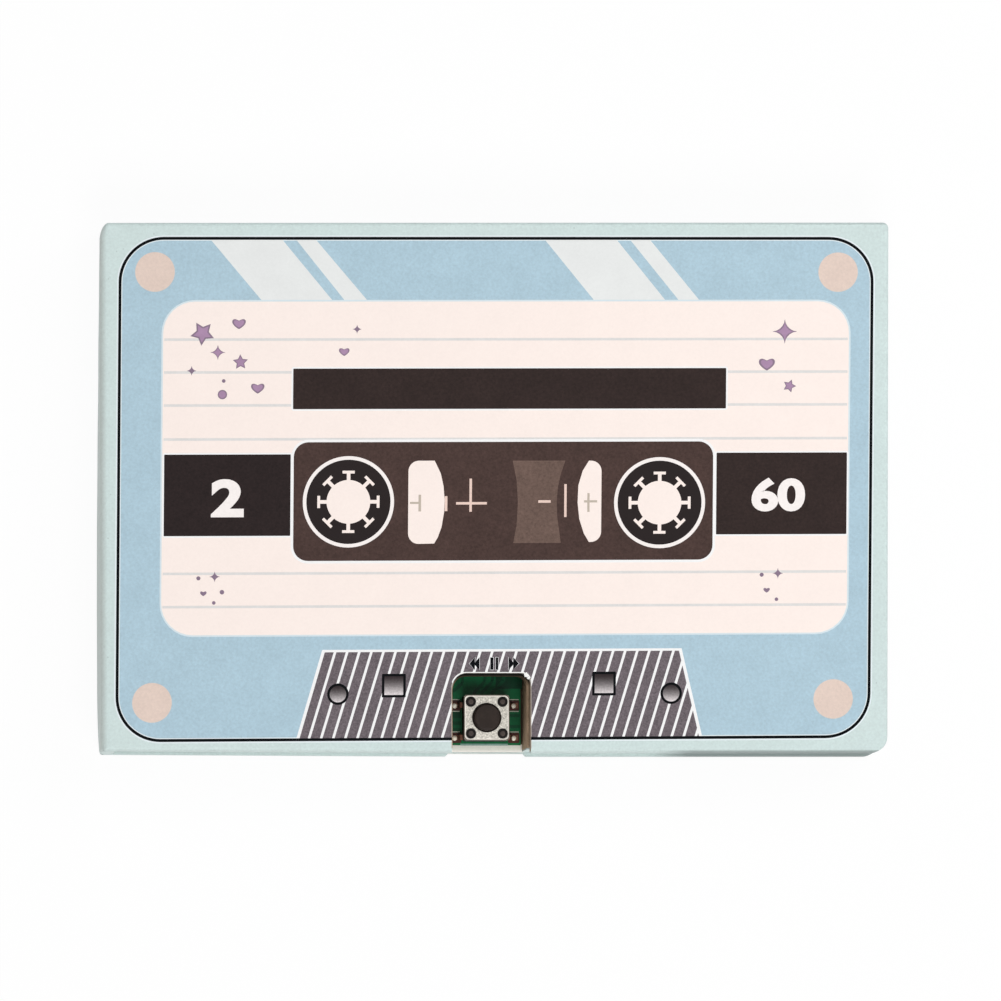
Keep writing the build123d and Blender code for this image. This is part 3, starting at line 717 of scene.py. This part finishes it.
def crease_strip():
    line = crease_line()
    rings = []
    for station in range(CREASE_STATIONS):
        y = -CREASE_HALF + 2 * CREASE_HALF * station / (CREASE_STATIONS - 1)
        outer, under = [], []
        for index, (x, z, angle) in enumerate(line):
            rise = 0.06 * math.sin(math.pi * index / (len(line) - 1)) - 0.02
            for row, depth in ((outer, rise), (under, rise - CREASE_T)):
                px, pz = polar(x, z, depth, angle)
                row.append(tuple(settled(Vector((px, y, pz)) * MM) / MM))
        rings.append(outer + under[::-1])
    points, faces = loft(rings)
    piece = new_piece("spine_crease", points, [face[::-1] for face in faces], mint_paper, None, "mint_paper",
                      BENT_SHARP)
    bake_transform(piece)


crease_strip()


# The notch's cutter is removed again once the print is cut
def notch_outline(grow=0.0, low=CARD_LOW):
    """Edge of the notch from its foot on the right round to its foot on the left."""
    left = NOTCH_LEFT - grow
    right = NOTCH_RIGHT + grow
    top = NOTCH_TOP + NOTCH_WORN + grow
    outline = [(right, low), (right, top - NOTCH_R_RIGHT)]
    outline += arc(right - NOTCH_R_RIGHT, top - NOTCH_R_RIGHT, NOTCH_R_RIGHT, 0, 90, 10)
    outline += arc(left + NOTCH_R_LEFT, top - NOTCH_R_LEFT, NOTCH_R_LEFT, 90, 180, 14)
    outline += [(left, low)]
    return outline


def final_mesh(piece):
    """Mesh of an object with its modifiers carried out, or of a text."""
    bpy.context.view_layer.update()
    graph = bpy.context.evaluated_depsgraph_get()
    return bpy.data.meshes.new_from_object(piece.evaluated_get(graph))


def cut(piece, cutter):
    """Takes the cutter's volume out of a piece for good."""
    change = piece.modifiers.new("cut", "BOOLEAN")
    change.operation = "DIFFERENCE"
    change.solver = "EXACT"
    change.object = cutter
    mesh = final_mesh(piece)
    piece.modifiers.clear()
    piece.data = mesh


cutter_shape = slab(notch_outline(low=CARD_LOW - 5), 5.0, 20.0)
notch_cutter = new_piece("notch_cutter", *cutter_shape, case_board, None, None)


def laid(loop):
    """Loop of the upright print as it lies on the cover."""
    return [on_card(u, v) for u, v in loop]


def ink(name, shapes, level, material, crosses_notch=False, rings=False):
    """Printed flat shapes, or rings between two loops each, as thin films sunk a little into the paper."""
    levels = (CARD_TOP - INK_SUNK, CARD_TOP + level * INK_STEP)
    if rings:
        parts = [band(laid(outer), laid(inner), *levels) for outer, inner in shapes]
    else:
        parts = [slab(laid(loop), *levels) for loop in shapes]
    piece = new_piece(name, *joined(parts), material, "cover", "printed_paper")
    if crosses_notch:
        cut(piece, notch_cutter)


def printed(name, colour, cloud, grain, specular=0.28, grain_size=0.35):
    return paper(name, colour, cloud, grain, 0.5, 0.008, specular, grain_size)


def dark_printed(name, colour, cloud=0.08, grain=0.08):
    return printed(name, colour, cloud, grain, specular=0.1)


# Inks
blue_ink = printed("blue_ink", srgb(174, 201, 215), 0.035, 0.09)
black_ink = printed("black_ink", srgb(4, 7, 10), 0.08, 0.08, 0.05)
halo_ink = printed("halo_ink", srgb(232, 241, 244), 0.02, 0.02)
rim_ink = printed("rim_ink", srgb(216, 230, 236), 0.02, 0.02)
white_ink = printed("white_ink", srgb(248, 248, 248), 0.01, 0.02)
warm_white_ink = printed("warm_white_ink", srgb(250, 243, 240), 0.02, 0.04)
pale_ink = printed("pale_ink", srgb(233, 235, 234), 0.02, 0.02)
peach_ink = printed("peach_ink", srgb(226, 205, 193), 0.025, 0.06)
cream_ink = printed("cream_ink", srgb(254, 240, 233), 0.01, 0.02)
rule_ink = printed("rule_ink", srgb(224, 222, 220), 0.03, 0.04)
brown_ink = dark_printed("brown_ink", srgb(38, 29, 29), 0.1, 0.3)
faded_ink = dark_printed("faded_ink", srgb(47, 36, 34), 0.1, 0.26)
window_ink = dark_printed("window_ink", srgb(72, 55, 51), 0.12, 0.26)
deep_ink = dark_printed("deep_ink", srgb(36, 29, 29))
hour_ink = dark_printed("hour_ink", srgb(108, 88, 80), 0.08, 0.24)
lilac_ink = printed("lilac_ink", srgb(169, 136, 168), 0.06, 0.06)
plum_ink = printed("plum_ink", srgb(134, 114, 134), 0.06, 0.06)
grey_ink = printed("grey_ink", srgb(107, 98, 103), 0.08, 0.5, 0.15, 0.22)
line_ink = printed("line_ink", srgb(194, 182, 168), 0.03, 0.03)
pink_ink = printed("pink_ink", srgb(236, 208, 196), 0.03, 0.05)


def hole_ink(name, low, high):
    """Print of a shaded hole, dark above and light below, between two heights in millimetres."""
    look = Look(name, 0.5, specular=0.12)
    fine = look.noise(0.22, 6.0, 0.65)
    slope = look.times(look.axis("X"), 0.0065)
    height = look.sum(look.axis("Y"), slope, "SUBTRACT")
    light = look.sum(look.span(height, high * MM, low * MM), 2.1, "POWER")
    tone = look.mix(light, srgb(44, 35, 37), srgb(236, 228, 229))
    look.colour(look.mix(1.0, tone, look.spread(fine, 0.78, 1.22), "MULTIPLY"))
    look.bump(fine, 0.008)
    return look.material


FRAME = (-49.85, 49.93, -33.26, 33.08)
FRAME_HALF = 0.19


def frame_outline(grow):
    """Print's frame line, grown outwards from its centre line."""
    x0, x1, y0, y1 = FRAME
    return rounded(x0 - grow, x1 + grow, y0 - grow, y1 + grow, 5.8 + grow, 16)


ink("print_field", [frame_outline(0.0)], 1, blue_ink, True)
ink("frame_halo", [(frame_outline(FRAME_HALF + 0.2), frame_outline(-FRAME_HALF - 0.12))], 2, halo_ink, True,
    rings=True)
ink("frame_line", [(frame_outline(FRAME_HALF), frame_outline(-FRAME_HALF))], 5, black_ink, True, rings=True)

CORNER_DOTS = [(-45.24, 28.63), (45.4, 28.58), (-45.22, -28.28), (45.16, -28.24)]
ink("corner_dots", [circle(u, v, 2.63) for u, v in CORNER_DOTS], 3, peach_ink)

GLARES = [
    [(-37.96, 32.97), (-28.47, 32.97), (-21.67, 24.79), (-31.04, 24.8)],
    [(-26.64, 32.97), (-24.03, 32.97), (-17.04, 24.79), (-20.05, 24.79)],
    [(6.33, 32.97), (15.87, 32.97), (22.53, 24.76), (13.04, 24.77)],
    [(17.64, 32.97), (20.29, 32.97), (27.04, 24.76), (24.3, 24.76)],
]
ink("glare_bands", GLARES, 3, pale_ink)

LABEL = (-44.1, 46.9, -19.4, 24.7)
LABEL_R = 4.2
EDGE_W = 0.22
ink("label_edge", [rounded(LABEL[0] - EDGE_W, LABEL[1] + EDGE_W, LABEL[2] - EDGE_W, LABEL[3] + EDGE_W,
                           LABEL_R + EDGE_W)], 4, rim_ink)
ink("label", [rounded(*LABEL, LABEL_R)], 5, cream_ink)
RULES = (19.68, 15.33, 10.96, 6.47, -11.28, -15.67)
rules = [rectangle(LABEL[0] + 0.15, LABEL[1] - 0.15, v - 0.17, v + 0.17) for v in RULES]
ink("label_rules", rules, 6, rule_ink)

TITLE = (-26.85, 30.6, 10.45, 15.82)
BAND_LEFT = (-43.85, -27.1, -6.3, 4.47)
BAND_RIGHT = (29.4, 46.75, -6.3, 4.56)
WINDOW = (-26.7, 28.95, -9.64, 6.07)


def bordered(name, box, radius, border, level, edge_material, material):
    """Printed panel with a thin outline of another colour."""
    x0, x1, y0, y1 = box
    outer = rounded(x0 - border, x1 + border, y0 - border, y1 + border, radius + border)
    ink(name + "_edge", [outer], level, edge_material)
    ink(name, [rounded(x0, x1, y0, y1, radius)], level + 1, material)


bordered("title_bar", TITLE, 0.1, EDGE_W, 7, white_ink, faded_ink)
bordered("band_left", BAND_LEFT, 0.1, EDGE_W, 6.5, white_ink, brown_ink)
bordered("band_right", BAND_RIGHT, 0.1, EDGE_W, 6.5, white_ink, faded_ink)
bordered("window", WINDOW, 1.95, 0.34, 7, white_ink, window_ink)
TOOTH = [(2.6, -0.24), (3.75, -0.24), (3.75, -0.81), (4.12, -0.81),
         (4.12, 0.81), (3.75, 0.81), (3.75, 0.24), (2.6, 0.24)]
REELS = [(-19.42, -1.83), (21.87, -2.06)]
ink("reel_discs", [circle(u, v, 5.7, 72) for u, v in REELS], 9, deep_ink)
ink("reel_rings", [(circle(u, v, 6.05, 72), circle(u, v, 5.58, 72)) for u, v in REELS], 10, warm_white_ink,
    rings=True)
ink("reel_hubs", [circle(u, v, 2.9) for u, v in REELS], 11, cream_ink)
teeth = [turned_loop(TOOTH, u, v, 45 * index) for u, v in REELS for index in range(8)]
ink("reel_teeth", teeth, 10, cream_ink)

LENS_LEFT = (arc(-10.1, 2.2, 1.39, 180, 90, 8) + [(-8.02, 3.59)]
             + [(-7.2, 1.9), (-6.82, 0.2), (-6.67, -1.6), (-6.72, -3.2), (-7.05, -5.2), (-7.55, -6.6)]
             + [(-8.02, -7.38)]
             + arc(-10.1, -6.04, 1.39, 270, 180, 8))
LENS_RIGHT = ([(12.45, 3.54)] + arc(12.75, 2.16, 1.38, 90, 0, 8) + arc(12.75, -5.87, 1.38, 0, -90, 8)
              + [(12.52, -7.25)] + [(11.83, -6.1), (11.22, -4.2), (10.98, -2.0), (11.07, 0.3), (11.63, 2.2)])
ink("tape_left", [LENS_LEFT], 9, cream_ink)
ink("tape_right", [LENS_RIGHT], 9, cream_ink)


def crossed(x, y, left, right, down, up, half):
    """Cross of two thin bars, as one outline."""
    return [(x - half, y + up), (x - half, y + half), (x - left, y + half), (x - left, y - half),
            (x - half, y - half), (x - half, y - down), (x + half, y - down), (x + half, y - half),
            (x + right, y - half), (x + right, y + half), (x + half, y + half), (x + half, y + up)]


ink("tape_marks", [
    rectangle(-11.26, -10.13, -2.14, -1.86),
    rectangle(-10.13, -9.79, -3.13, -0.92),
    crossed(12.42, -1.86, 0.58, 1.15, 1.4, 1.1, 0.15),
], 10, line_ink)
HOUR_GLASS = [(2.33, 3.57), (9.32, 3.57), (8.7, 1.7), (8.35, 0.0), (8.2, -1.9), (8.3, -4.0), (8.78, -7.36),
              (2.47, -7.36), (2.9, -5.0), (3.05, -1.9), (2.85, 1.0)]
ink("tape_glass", [HOUR_GLASS], 9, hour_ink)
ink("window_marks", [
    crossed(-3.22, -2.07, 1.93, 2.16, 1.12, 3.27, 0.165),
    rectangle(5.76, 7.4, -2.03, -1.69),
    rectangle(9.2, 9.52, -3.93, 0.44),
    rectangle(-6.66, -6.3, -3.1, -1.12),
], 10, pink_ink)

LARGE_ORNAMENTS = [
    star(-38.9, 20.51, 1.64, 5, 0.52, 265), heart(-34.08, 21.72, 1.8),
    sparkle(-36.85, 17.98, 1.02), star(-33.85, 16.68, 1.04, 5, 0.5, 92),
    circle(-36.21, 12.4, 0.62, 24), heart(-31.54, 13.18, 1.78),
    heart(-20.12, 18.0, 1.4), sparkle(38.36, 20.68, 1.64), heart(36.0, 16.27, 2.14),
    star(39.02, 13.43, 0.9, 5, 0.52, 70),
]
SMALL_ORNAMENTS = [
    sparkle(-40.3, 15.55, 0.66), circle(-36.05, 14.2, 0.24, 16), sparkle(-18.43, 21.03, 0.62),
    circle(-39.21, -11.88, 0.27, 16), sparkle(-37.06, -11.68, 0.72),
    circle(-36.08, -13.72, 0.3, 16), heart(-38.54, -13.92, 0.85), circle(-37.15, -15.13, 0.24, 16),
    circle(35.52, -11.68, 0.27, 16), sparkle(37.67, -11.5, 0.72),
    heart(36.19, -13.75, 0.85), circle(37.51, -14.95, 0.24, 16),
]
ink("ornament_rims", LARGE_ORNAMENTS + SMALL_ORNAMENTS, 8, plum_ink)
ink("ornaments", [shrunk(loop, 0.74) for loop in LARGE_ORNAMENTS], 9, lilac_ink)

# Striped foot of the print, a trapezium of slanting bars
FOOT = [(-26.13, -33.25), (27.8, -33.25), (24.95, -21.4), (-22.74, -21.4)]
FOOT_INSIDE = [(-25.71, -33.25), (27.38, -33.25), (24.6, -21.72), (-22.4, -21.72)]
BAR_START = -25.85
BAR_PITCH = 1.604
BAR_W = 1.25
BAR_LEAN = 0.296


def bars():
    """Slanting bars, cut to the inside of the foot."""
    shapes = []
    low, high = -33.5, -21.0
    for index in range(40):
        left = BAR_START + index * BAR_PITCH + (low + 33.15) * BAR_LEAN
        shift = (high - low) * BAR_LEAN
        bar = [(left, low), (left + BAR_W, low), (left + BAR_W + shift, high), (left + shift, high)]
        inside = clipped(bar, FOOT_INSIDE)
        if inside:
            shapes.append(inside)
    return shapes


ink("foot_ground", [FOOT], 3, white_ink, True)
ink("foot_bars", bars(), 4, grey_ink, True)

ROUND_HOLES = [(-20.62, -27.26, 1.42), (23.6, -27.36, 1.43)]
SQUARE_HOLES = [(-14.8, -11.64, -27.73, -24.61), (13.1, 16.24, -27.62, -24.46)]
HOLE_LINE = 0.33
hole_rings = [circle(u, v, r) for u, v, r in ROUND_HOLES]
hole_rings += [rounded(*box, 0.12, 3) for box in SQUARE_HOLES]
ink("hole_rings", hole_rings, 5, black_ink)
ink("round_hole_faces", [circle(u, v, r - HOLE_LINE) for u, v, r in ROUND_HOLES], 6,
    hole_ink("round_hole_ink", -28.5, -26.1))
hole_faces = [rounded(x0 + HOLE_LINE, x1 - HOLE_LINE, y0 + HOLE_LINE, y1 - HOLE_LINE, 0.05, 3)
              for x0, x1, y0, y1 in SQUARE_HOLES]
ink("square_hole_faces", hole_faces, 6, hole_ink("square_hole_ink", -27.45, -24.8))


def double_arrow(x, y, way, grow=0.0):
    """Two triangles that overlap and point the same way, as one outline."""
    half = 0.84 + grow
    neck = 0.19 * half
    back, waist, tip = -0.68 - grow, -0.08 - grow, 0.66 + 1.4 * grow
    outline = [(back, half), (waist, neck), (waist, half), (tip, 0), (waist, -half), (waist, -neck),
               (back, -half)]
    return [(x + way * a, y + b) for a, b in outline]


MARKS_Y = -23.32


def transport_marks(grow):
    marks = [double_arrow(-2.57, MARKS_Y, -1, grow), double_arrow(2.67, MARKS_Y, 1, grow)]
    marks += [rectangle(u - half - grow, u + half + grow, MARKS_Y - 0.82 - grow, MARKS_Y + 0.82 + grow)
              for u, half in ((-0.24, 0.21), (0.44, 0.17))]
    return marks


ink("transport_halo", transport_marks(0.045), 5, white_ink)
ink("transport_marks", transport_marks(0.0), 6, black_ink)


def plain_number(name, text, u, v, height, widen):
    """Bold plain number, printed in white."""
    curve = bpy.data.curves.new(name, "FONT")
    curve.body = text
    curve.align_x = "CENTER"
    curve.align_y = "CENTER"
    curve.size = height * 1.26
    curve.offset = height * 0.05
    curve.resolution_u = 6
    curve.extrude = 0.5
    letters = new_object(name + "_text", curve)
    mesh = final_mesh(letters)
    points = []
    for vertex in mesh.vertices:
        x, y = on_card(u + vertex.co.x * widen, v + vertex.co.y)
        points.append((x, y, CARD_TOP + (10 * INK_STEP if vertex.co.z > 0 else -INK_SUNK)))
    faces = [list(polygon.vertices) for polygon in mesh.polygons]
    bpy.data.objects.remove(letters)
    bpy.data.meshes.remove(mesh)
    new_piece(name, points, faces, warm_white_ink, "cover", "printed_paper")


plain_number("number_left", "2", -35.45, -1.6, 5.2, 1.3)
plain_number("number_right", "60", 37.6, -1.3, 4.5, 1.25)

# White core of the cover's paper, bare round the notch, with a torn tuft at one corner
EDGE_START = 5
EDGE_END = 24
EDGE_FOOT = 11.85
edge_in, edge_thin, edge_out = [notch_outline(grow, CARD_LOW + 0.5) for grow in (0.01, 0.07, 0.13)]
broad = slice(EDGE_START, EDGE_END + 1)
new_piece("notch_paper_edge", *ribbon(edge_in[broad], edge_out[broad], EDGE_FOOT, CARD_TOP + 6 * INK_STEP),
          core_paper, "cover", "printed_paper")
sides = [ribbon(edge_in[part], edge_thin[part], EDGE_FOOT, CARD_TOP + 5 * INK_STEP)
         for part in (slice(0, EDGE_START + 1), slice(EDGE_END, None))]
new_piece("notch_paper_sides", *joined(sides), line_ink, "cover", "printed_paper")


def torn_tuft(x, y, size, z0, z1, seed):
    """Small ragged scrap of paper."""
    loop = []
    for step in range(14):
        degrees = 360 * step / 14
        reach = size * (0.8 + 0.5 * noise.noise(Vector((*polar(0, 0, 2, degrees), seed))))
        loop.append(polar(x, y, reach, degrees))
    middle = [(x + (a - x) * 0.6, y + (b - y) * 0.6, z1 + 0.04) for a, b in loop]
    return loft([[(a, b, z0) for a, b in loop], [(a, b, z1) for a, b in loop], middle])


tufts = [torn_tuft(4.1, -24.8, 0.36, 11.9, 12.06, 3.0), torn_tuft(4.42, -25.2, 0.24, 11.88, 12.03, 7.0)]
new_piece("torn_paper", *joined(tufts), core_paper, "cover", "printed_paper")

bpy.data.objects.remove(notch_cutter)


# What shows in the notch: lining over the back cover's edge; tracks, print, flux and solder on the board,
# and painted shadow, shade and highlight there
def film(name, loops, thickness, material):
    """Flat shapes of a thin layer on the circuit board."""
    parts = [slab(loop, BOARD_TOP - 0.02, BOARD_TOP + thickness) for loop in loops]
    new_piece(name, *joined(parts), material, "base", "solder_mask")


def sideways(line, index):
    """Direction square to a line at one of its points, on the left of the way it runs."""
    a, b = line[max(0, index - 1)], line[min(len(line) - 1, index + 1)]
    along = Vector((b[0] - a[0], b[1] - a[1])).normalized()
    return Vector((-along.y, along.x))


LINING_T = 0.05
LINING_LEVEL = 2.38
LINING_R = 0.53


def notch_lining():
    """Cream paper that runs from under the board over the front edge of the back cover."""
    front = CARD_LOW - 0.03 + BACK_BITE
    line = [(-33.5, LINING_LEVEL), (front + 0.73, LINING_LEVEL)]
    line += arc(front + LINING_R, LINING_LEVEL - 0.5, LINING_R, 90, 180, 6)[1:]
    line += [(front, 0.7), (front, 0.3)]
    x0, x1 = NOTCH_LEFT + 0.32, NOTCH_RIGHT
    rings = []
    for index, (y, z) in enumerate(line):
        inward = -sideways(line, index)
        if inward.y > 0:
            inward = -inward
        y1, z1 = y + inward.x * LINING_T, z + inward.y * LINING_T
        rings.append([(x0, y, z), (x1, y, z), (x1, y1, z1), (x0, y1, z1)])
    new_piece("notch_lining", *loft(rings), ledge_paper, "base", "lining_paper", BENT_SHARP)


notch_lining()

PAD_ROWS = (-28.42, -32.7)
PAD_SIDES = (-1, 1)


def beside(side, near, far):
    """Span of x beside the switch, on its left or right."""
    ends = (SWITCH_X + side * near, SWITCH_X + side * far)
    return min(ends), max(ends)


pads = [rectangle(*beside(side, 3.1, 4.62), y - 0.68, y + 0.68) for side in PAD_SIDES for y in PAD_ROWS]
film("board_flux", [rounded(a[0][0], a[1][0], a[0][1], a[2][1], 0.2, 4) for a in pads], 0.01, flux_brown)
silk = [rectangle(*beside(side, 3.3, 4.55), y - 0.06, y + 0.06) for side in PAD_SIDES
        for y in (PAD_ROWS[0] + 0.78, PAD_ROWS[0] - 0.78, PAD_ROWS[1] + 0.78)]
film("board_print", silk, 0.012, silk_white)


def trace(points, width=0.42):
    """Copper track under the lacquer along straight runs."""
    shapes = []
    for a, b in zip(points, points[1:]):
        side = sideways((a, b), 0) * width / 2
        shapes.append([(a[0] + side.x, a[1] + side.y), (a[0] - side.x, a[1] - side.y),
                       (b[0] - side.x, b[1] - side.y), (b[0] + side.x, b[1] + side.y)])
    return shapes


TRACES = [
    [(-2.2, -26.9), (-0.6, -25.2), (-0.6, -24.2)], [(-1.2, -26.9), (0.4, -25.2), (0.4, -24.2)],
    [(0.2, -26.9), (1.9, -25.1), (1.9, -24.2)],
    [(-4.9, -26.6), (-3.6, -25.5), (-3.6, -24.2)],
    [(2.6, -29.75), (4.0, -29.75)], [(-4.9, -30.3), (-3.5, -30.3)], [(-4.9, -31.2), (-3.5, -31.2)],
    [(2.6, -31.2), (4.0, -31.2)],
]
film("board_tracks", [shape for line in TRACES for shape in trace(line)], 0.006, trace_green)
# Painted highlight along the board's front edge
film("board_edge_highlight", [rectangle(-3.9, 2.4, -33.72, -33.48)], 0.008, edge_highlight_green)
# Painted shadow on the board: darker green left of the switch and below the notch's upper right corner
SHADOW_PATCHES = [rectangle(-5.6, -3.75, -33.3, -27.7), rectangle(0.8, 4.3, -26.2, -24.3)]
film("board_painted_shadow", SHADOW_PATCHES, 0.003, shadow_green)

LEG_LINE = [(2.9, 0.82), (3.25, 0.82), (3.38, 0.76), (3.45, 0.62), (3.5, 0.3), (3.58, 0.15), (3.7, 0.1),
            (4.42, 0.1)]
LEG_HALF_T = 0.1
LEG_HALF_W = 0.35


def switch_leg(side, y):
    """Bent leg of the switch, from its flank down to a foot on the board."""
    rings = []
    for index, (x, z) in enumerate(LEG_LINE):
        across = sideways(LEG_LINE, index) * LEG_HALF_T
        top = (SWITCH_X + side * (x + across.x), BOARD_TOP + z + across.y)
        low = (SWITCH_X + side * (x - across.x), BOARD_TOP + z - across.y)
        ring = [(low[0], y - LEG_HALF_W, low[1]), (low[0], y + LEG_HALF_W, low[1]),
                (top[0], y + LEG_HALF_W, top[1]), (top[0], y - LEG_HALF_W, top[1])]
        rings.append(ring if side > 0 else ring[::-1])
    return loft(rings)


leg_parts = [switch_leg(side, y) for side in PAD_SIDES for y in PAD_ROWS]
legs = new_piece("play_legs", *joined(leg_parts), leg_shade, "base", "tin", BENT_SHARP)
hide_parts("play_switch_legs")


def springy_dome(switch):
    """Copy of a switch's snap dome, in place of its node."""
    node = switch + "_switch_dome"
    dome = placed(switch + "_dome", nodes[node].data.copy(), plate_steel, "base")
    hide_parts(node)
    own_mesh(dome)


springy_dome("play")
springy_dome("record")


def bead(x, y, radius, height):
    """Round drop of solder on the board."""
    profile = [(radius, -0.03), (radius, 0.02)]
    profile += [(radius * math.cos(a), 0.02 + height * math.sin(a)) for a in (0.4, 0.75, 1.1, 1.4)]
    return lathe([(r, BOARD_TOP + 0.12 + z) for r, z in profile], x, y, 20)


# Solder drops coloured near white: painted highlight
beads = [bead(SWITCH_X + x, y - 0.05, 0.35, 0.27) for x in (-3.98, 3.84) for y in PAD_ROWS]
new_piece("play_solder", *joined(beads), bead_highlight, "base", "tin", ROUND_SHARP)

# Plate of the play switch: painted shade on its rolled edge, a painted highlight just inside it, dark rings
# and dished rivet heads
SKIN = 0.01


def plate_outline(inset, radius):
    half = SWITCH_W / 2 - inset
    return rounded(SWITCH_X - half, SWITCH_X + half, SWITCH_Y - half, SWITCH_Y + half, radius, 6)


edge_shade_band = band(plate_outline(0.0, 0.42), plate_outline(0.1, 0.5), PLATE_TOP - SKIN, PLATE_TOP + SKIN)
new_piece("play_plate_edge_shade", *edge_shade_band, plate_edge_shade, "base", "steel")
rim_highlight_band = band(plate_outline(0.1, 0.5), plate_outline(0.22, 0.42), PLATE_TOP - SKIN, PLATE_TOP + 1.5 * SKIN)
new_piece("play_plate_rim_highlight", *rim_highlight_band, plate_rim_highlight, "base", "steel")
RIVETS = [(SWITCH_X + sx * RIVET_OFF, SWITCH_Y + sy * RIVET_OFF) for sx in (-1, 1) for sy in (-1, 1)]
rivet_rings = [band(circle(x, y, 0.68, 32), circle(x, y, 0.5, 32), PLATE_TOP - SKIN, RIVET_TOP + SKIN)
               for x, y in RIVETS]
new_piece("play_rivet_rings", *joined(rivet_rings), black_plastic, "base", "black_plastic")
HEAD = [(0.34, -0.05), (0.34, 0.012), (0.29, 0.03), (0.2, 0.035), (0.14, 0.02), (0.04, 0.015)]
heads = [lathe([(r, RIVET_TOP + z) for r, z in HEAD], x, y, 24) for x, y in RIVETS]
new_piece("play_rivet_heads", *joined(heads), rivet_plastic, "base", "black_plastic", ROUND_SHARP)
CAP = [(1.66, -0.06), (1.66, 0.0), (1.6, 0.03), (1.45, 0.045), (1.0, 0.035), (0.3, 0.03)]
cap = lathe([(r, PLUNGER_TOP + z) for r, z in CAP], SWITCH_X, SWITCH_Y, 64)
new_piece("play_cap", *cap, button_plastic, "play_button", "black_plastic", ROUND_SHARP)

# Camera, turned a little to the left of straight above and a little from below
CAMERA_YAW = math.radians(-5.2)
CAMERA_PITCH = math.radians(3.6)
CAMERA_ROLL = math.radians(-0.2)
CAMERA_FAR = 2.4
CAMERA_AIM = Vector((0.0013244, -0.0014225, 0.006))
FOCAL = 653.316
SENSOR = 36.0

camera_data = bpy.data.cameras.new("camera")
camera_data.lens = FOCAL
camera_data.sensor_width = SENSOR
camera_data.clip_start = 0.1
camera_data.clip_end = 20.0
camera = new_object("camera", camera_data)
turn = (Matrix.Rotation(CAMERA_YAW, 4, "Y") @ Matrix.Rotation(CAMERA_PITCH, 4, "X")
        @ Matrix.Rotation(CAMERA_ROLL, 4, "Z"))
camera.matrix_world = Matrix.Translation(CAMERA_AIM) @ turn @ Matrix.Translation((0, 0, CAMERA_FAR))
bpy.context.scene.camera = camera

# Floor and light
FLOOR_GLOW = 0.94
FLOOR_HALF = 3000
FLOOR_LEVEL = -0.1
WORLD_LIGHT = 0.35


def seen_paths(tree):
    """Share of a ray that should meet plain white: seen directly, mirrored or through something."""
    paths = add_node(tree, "LightPath")
    seen = paths["Is Camera Ray"]
    for kind in ("Is Glossy Ray", "Is Transmission Ray"):
        seen = add_node(tree, "Math", {0: seen, 1: paths[kind]}, operation="MAXIMUM")["Value"]
    return seen


def floor_material():
    look = Look("floor_white", 0.9)
    look.colour((0.95, 0.95, 0.95, 1))
    glow = look.add("Emission", {"Strength": 1.0})["Emission"]
    share = look.times(seen_paths(look.tree), FLOOR_GLOW)
    lit = look.add("MixShader", {"Fac": share, 1: look.shader.outputs["BSDF"], 2: glow})["Shader"]
    feed(look.tree, look.tree.nodes["Material Output"].inputs["Surface"], lit)
    return look.material


corners = [(x, y, FLOOR_LEVEL) for x, y in rectangle(-FLOOR_HALF, FLOOR_HALF, -FLOOR_HALF, FLOOR_HALF)]
floor = new_piece("floor", corners, [[0, 1, 2, 3]], floor_material(), None, None)

world = bpy.data.worlds.new("studio")
bpy.context.scene.world = world
world.use_nodes = True
sky = world.node_tree
background = sky.nodes["Background"].inputs
background["Color"].default_value = (1, 1, 1, 1)
glare = add_node(sky, "MapRange", {"Value": seen_paths(sky), "To Min": WORLD_LIGHT, "To Max": 1.0})
feed(sky, background["Strength"], glare["Result"])


def soft_lamp(name, place, size, share):
    """Square lamp aimed at the card, giving that share of the light at which a colour looks as written."""
    far = Vector(place).length
    data = bpy.data.lights.new(name, "AREA")
    data.size = size
    data.energy = share * math.pi ** 2 * far ** 3 / place[2]
    lamp = new_object(name, data)
    lamp.location = place
    lamp.rotation_mode = "QUATERNION"
    lamp.rotation_quaternion = (-Vector(place)).to_track_quat("-Z", "Y")


soft_lamp("lamp_left", (-0.73, 0.73, 1.23), 0.6, 0.07)
soft_lamp("lamp_right", (0.28, 0.2, 0.42), 0.3, 0.2)
soft_lamp("lamp_front", (0.1, -0.75, 1.2), 0.6, 0.39)

bpy.context.scene.view_settings.view_transform = "Standard"
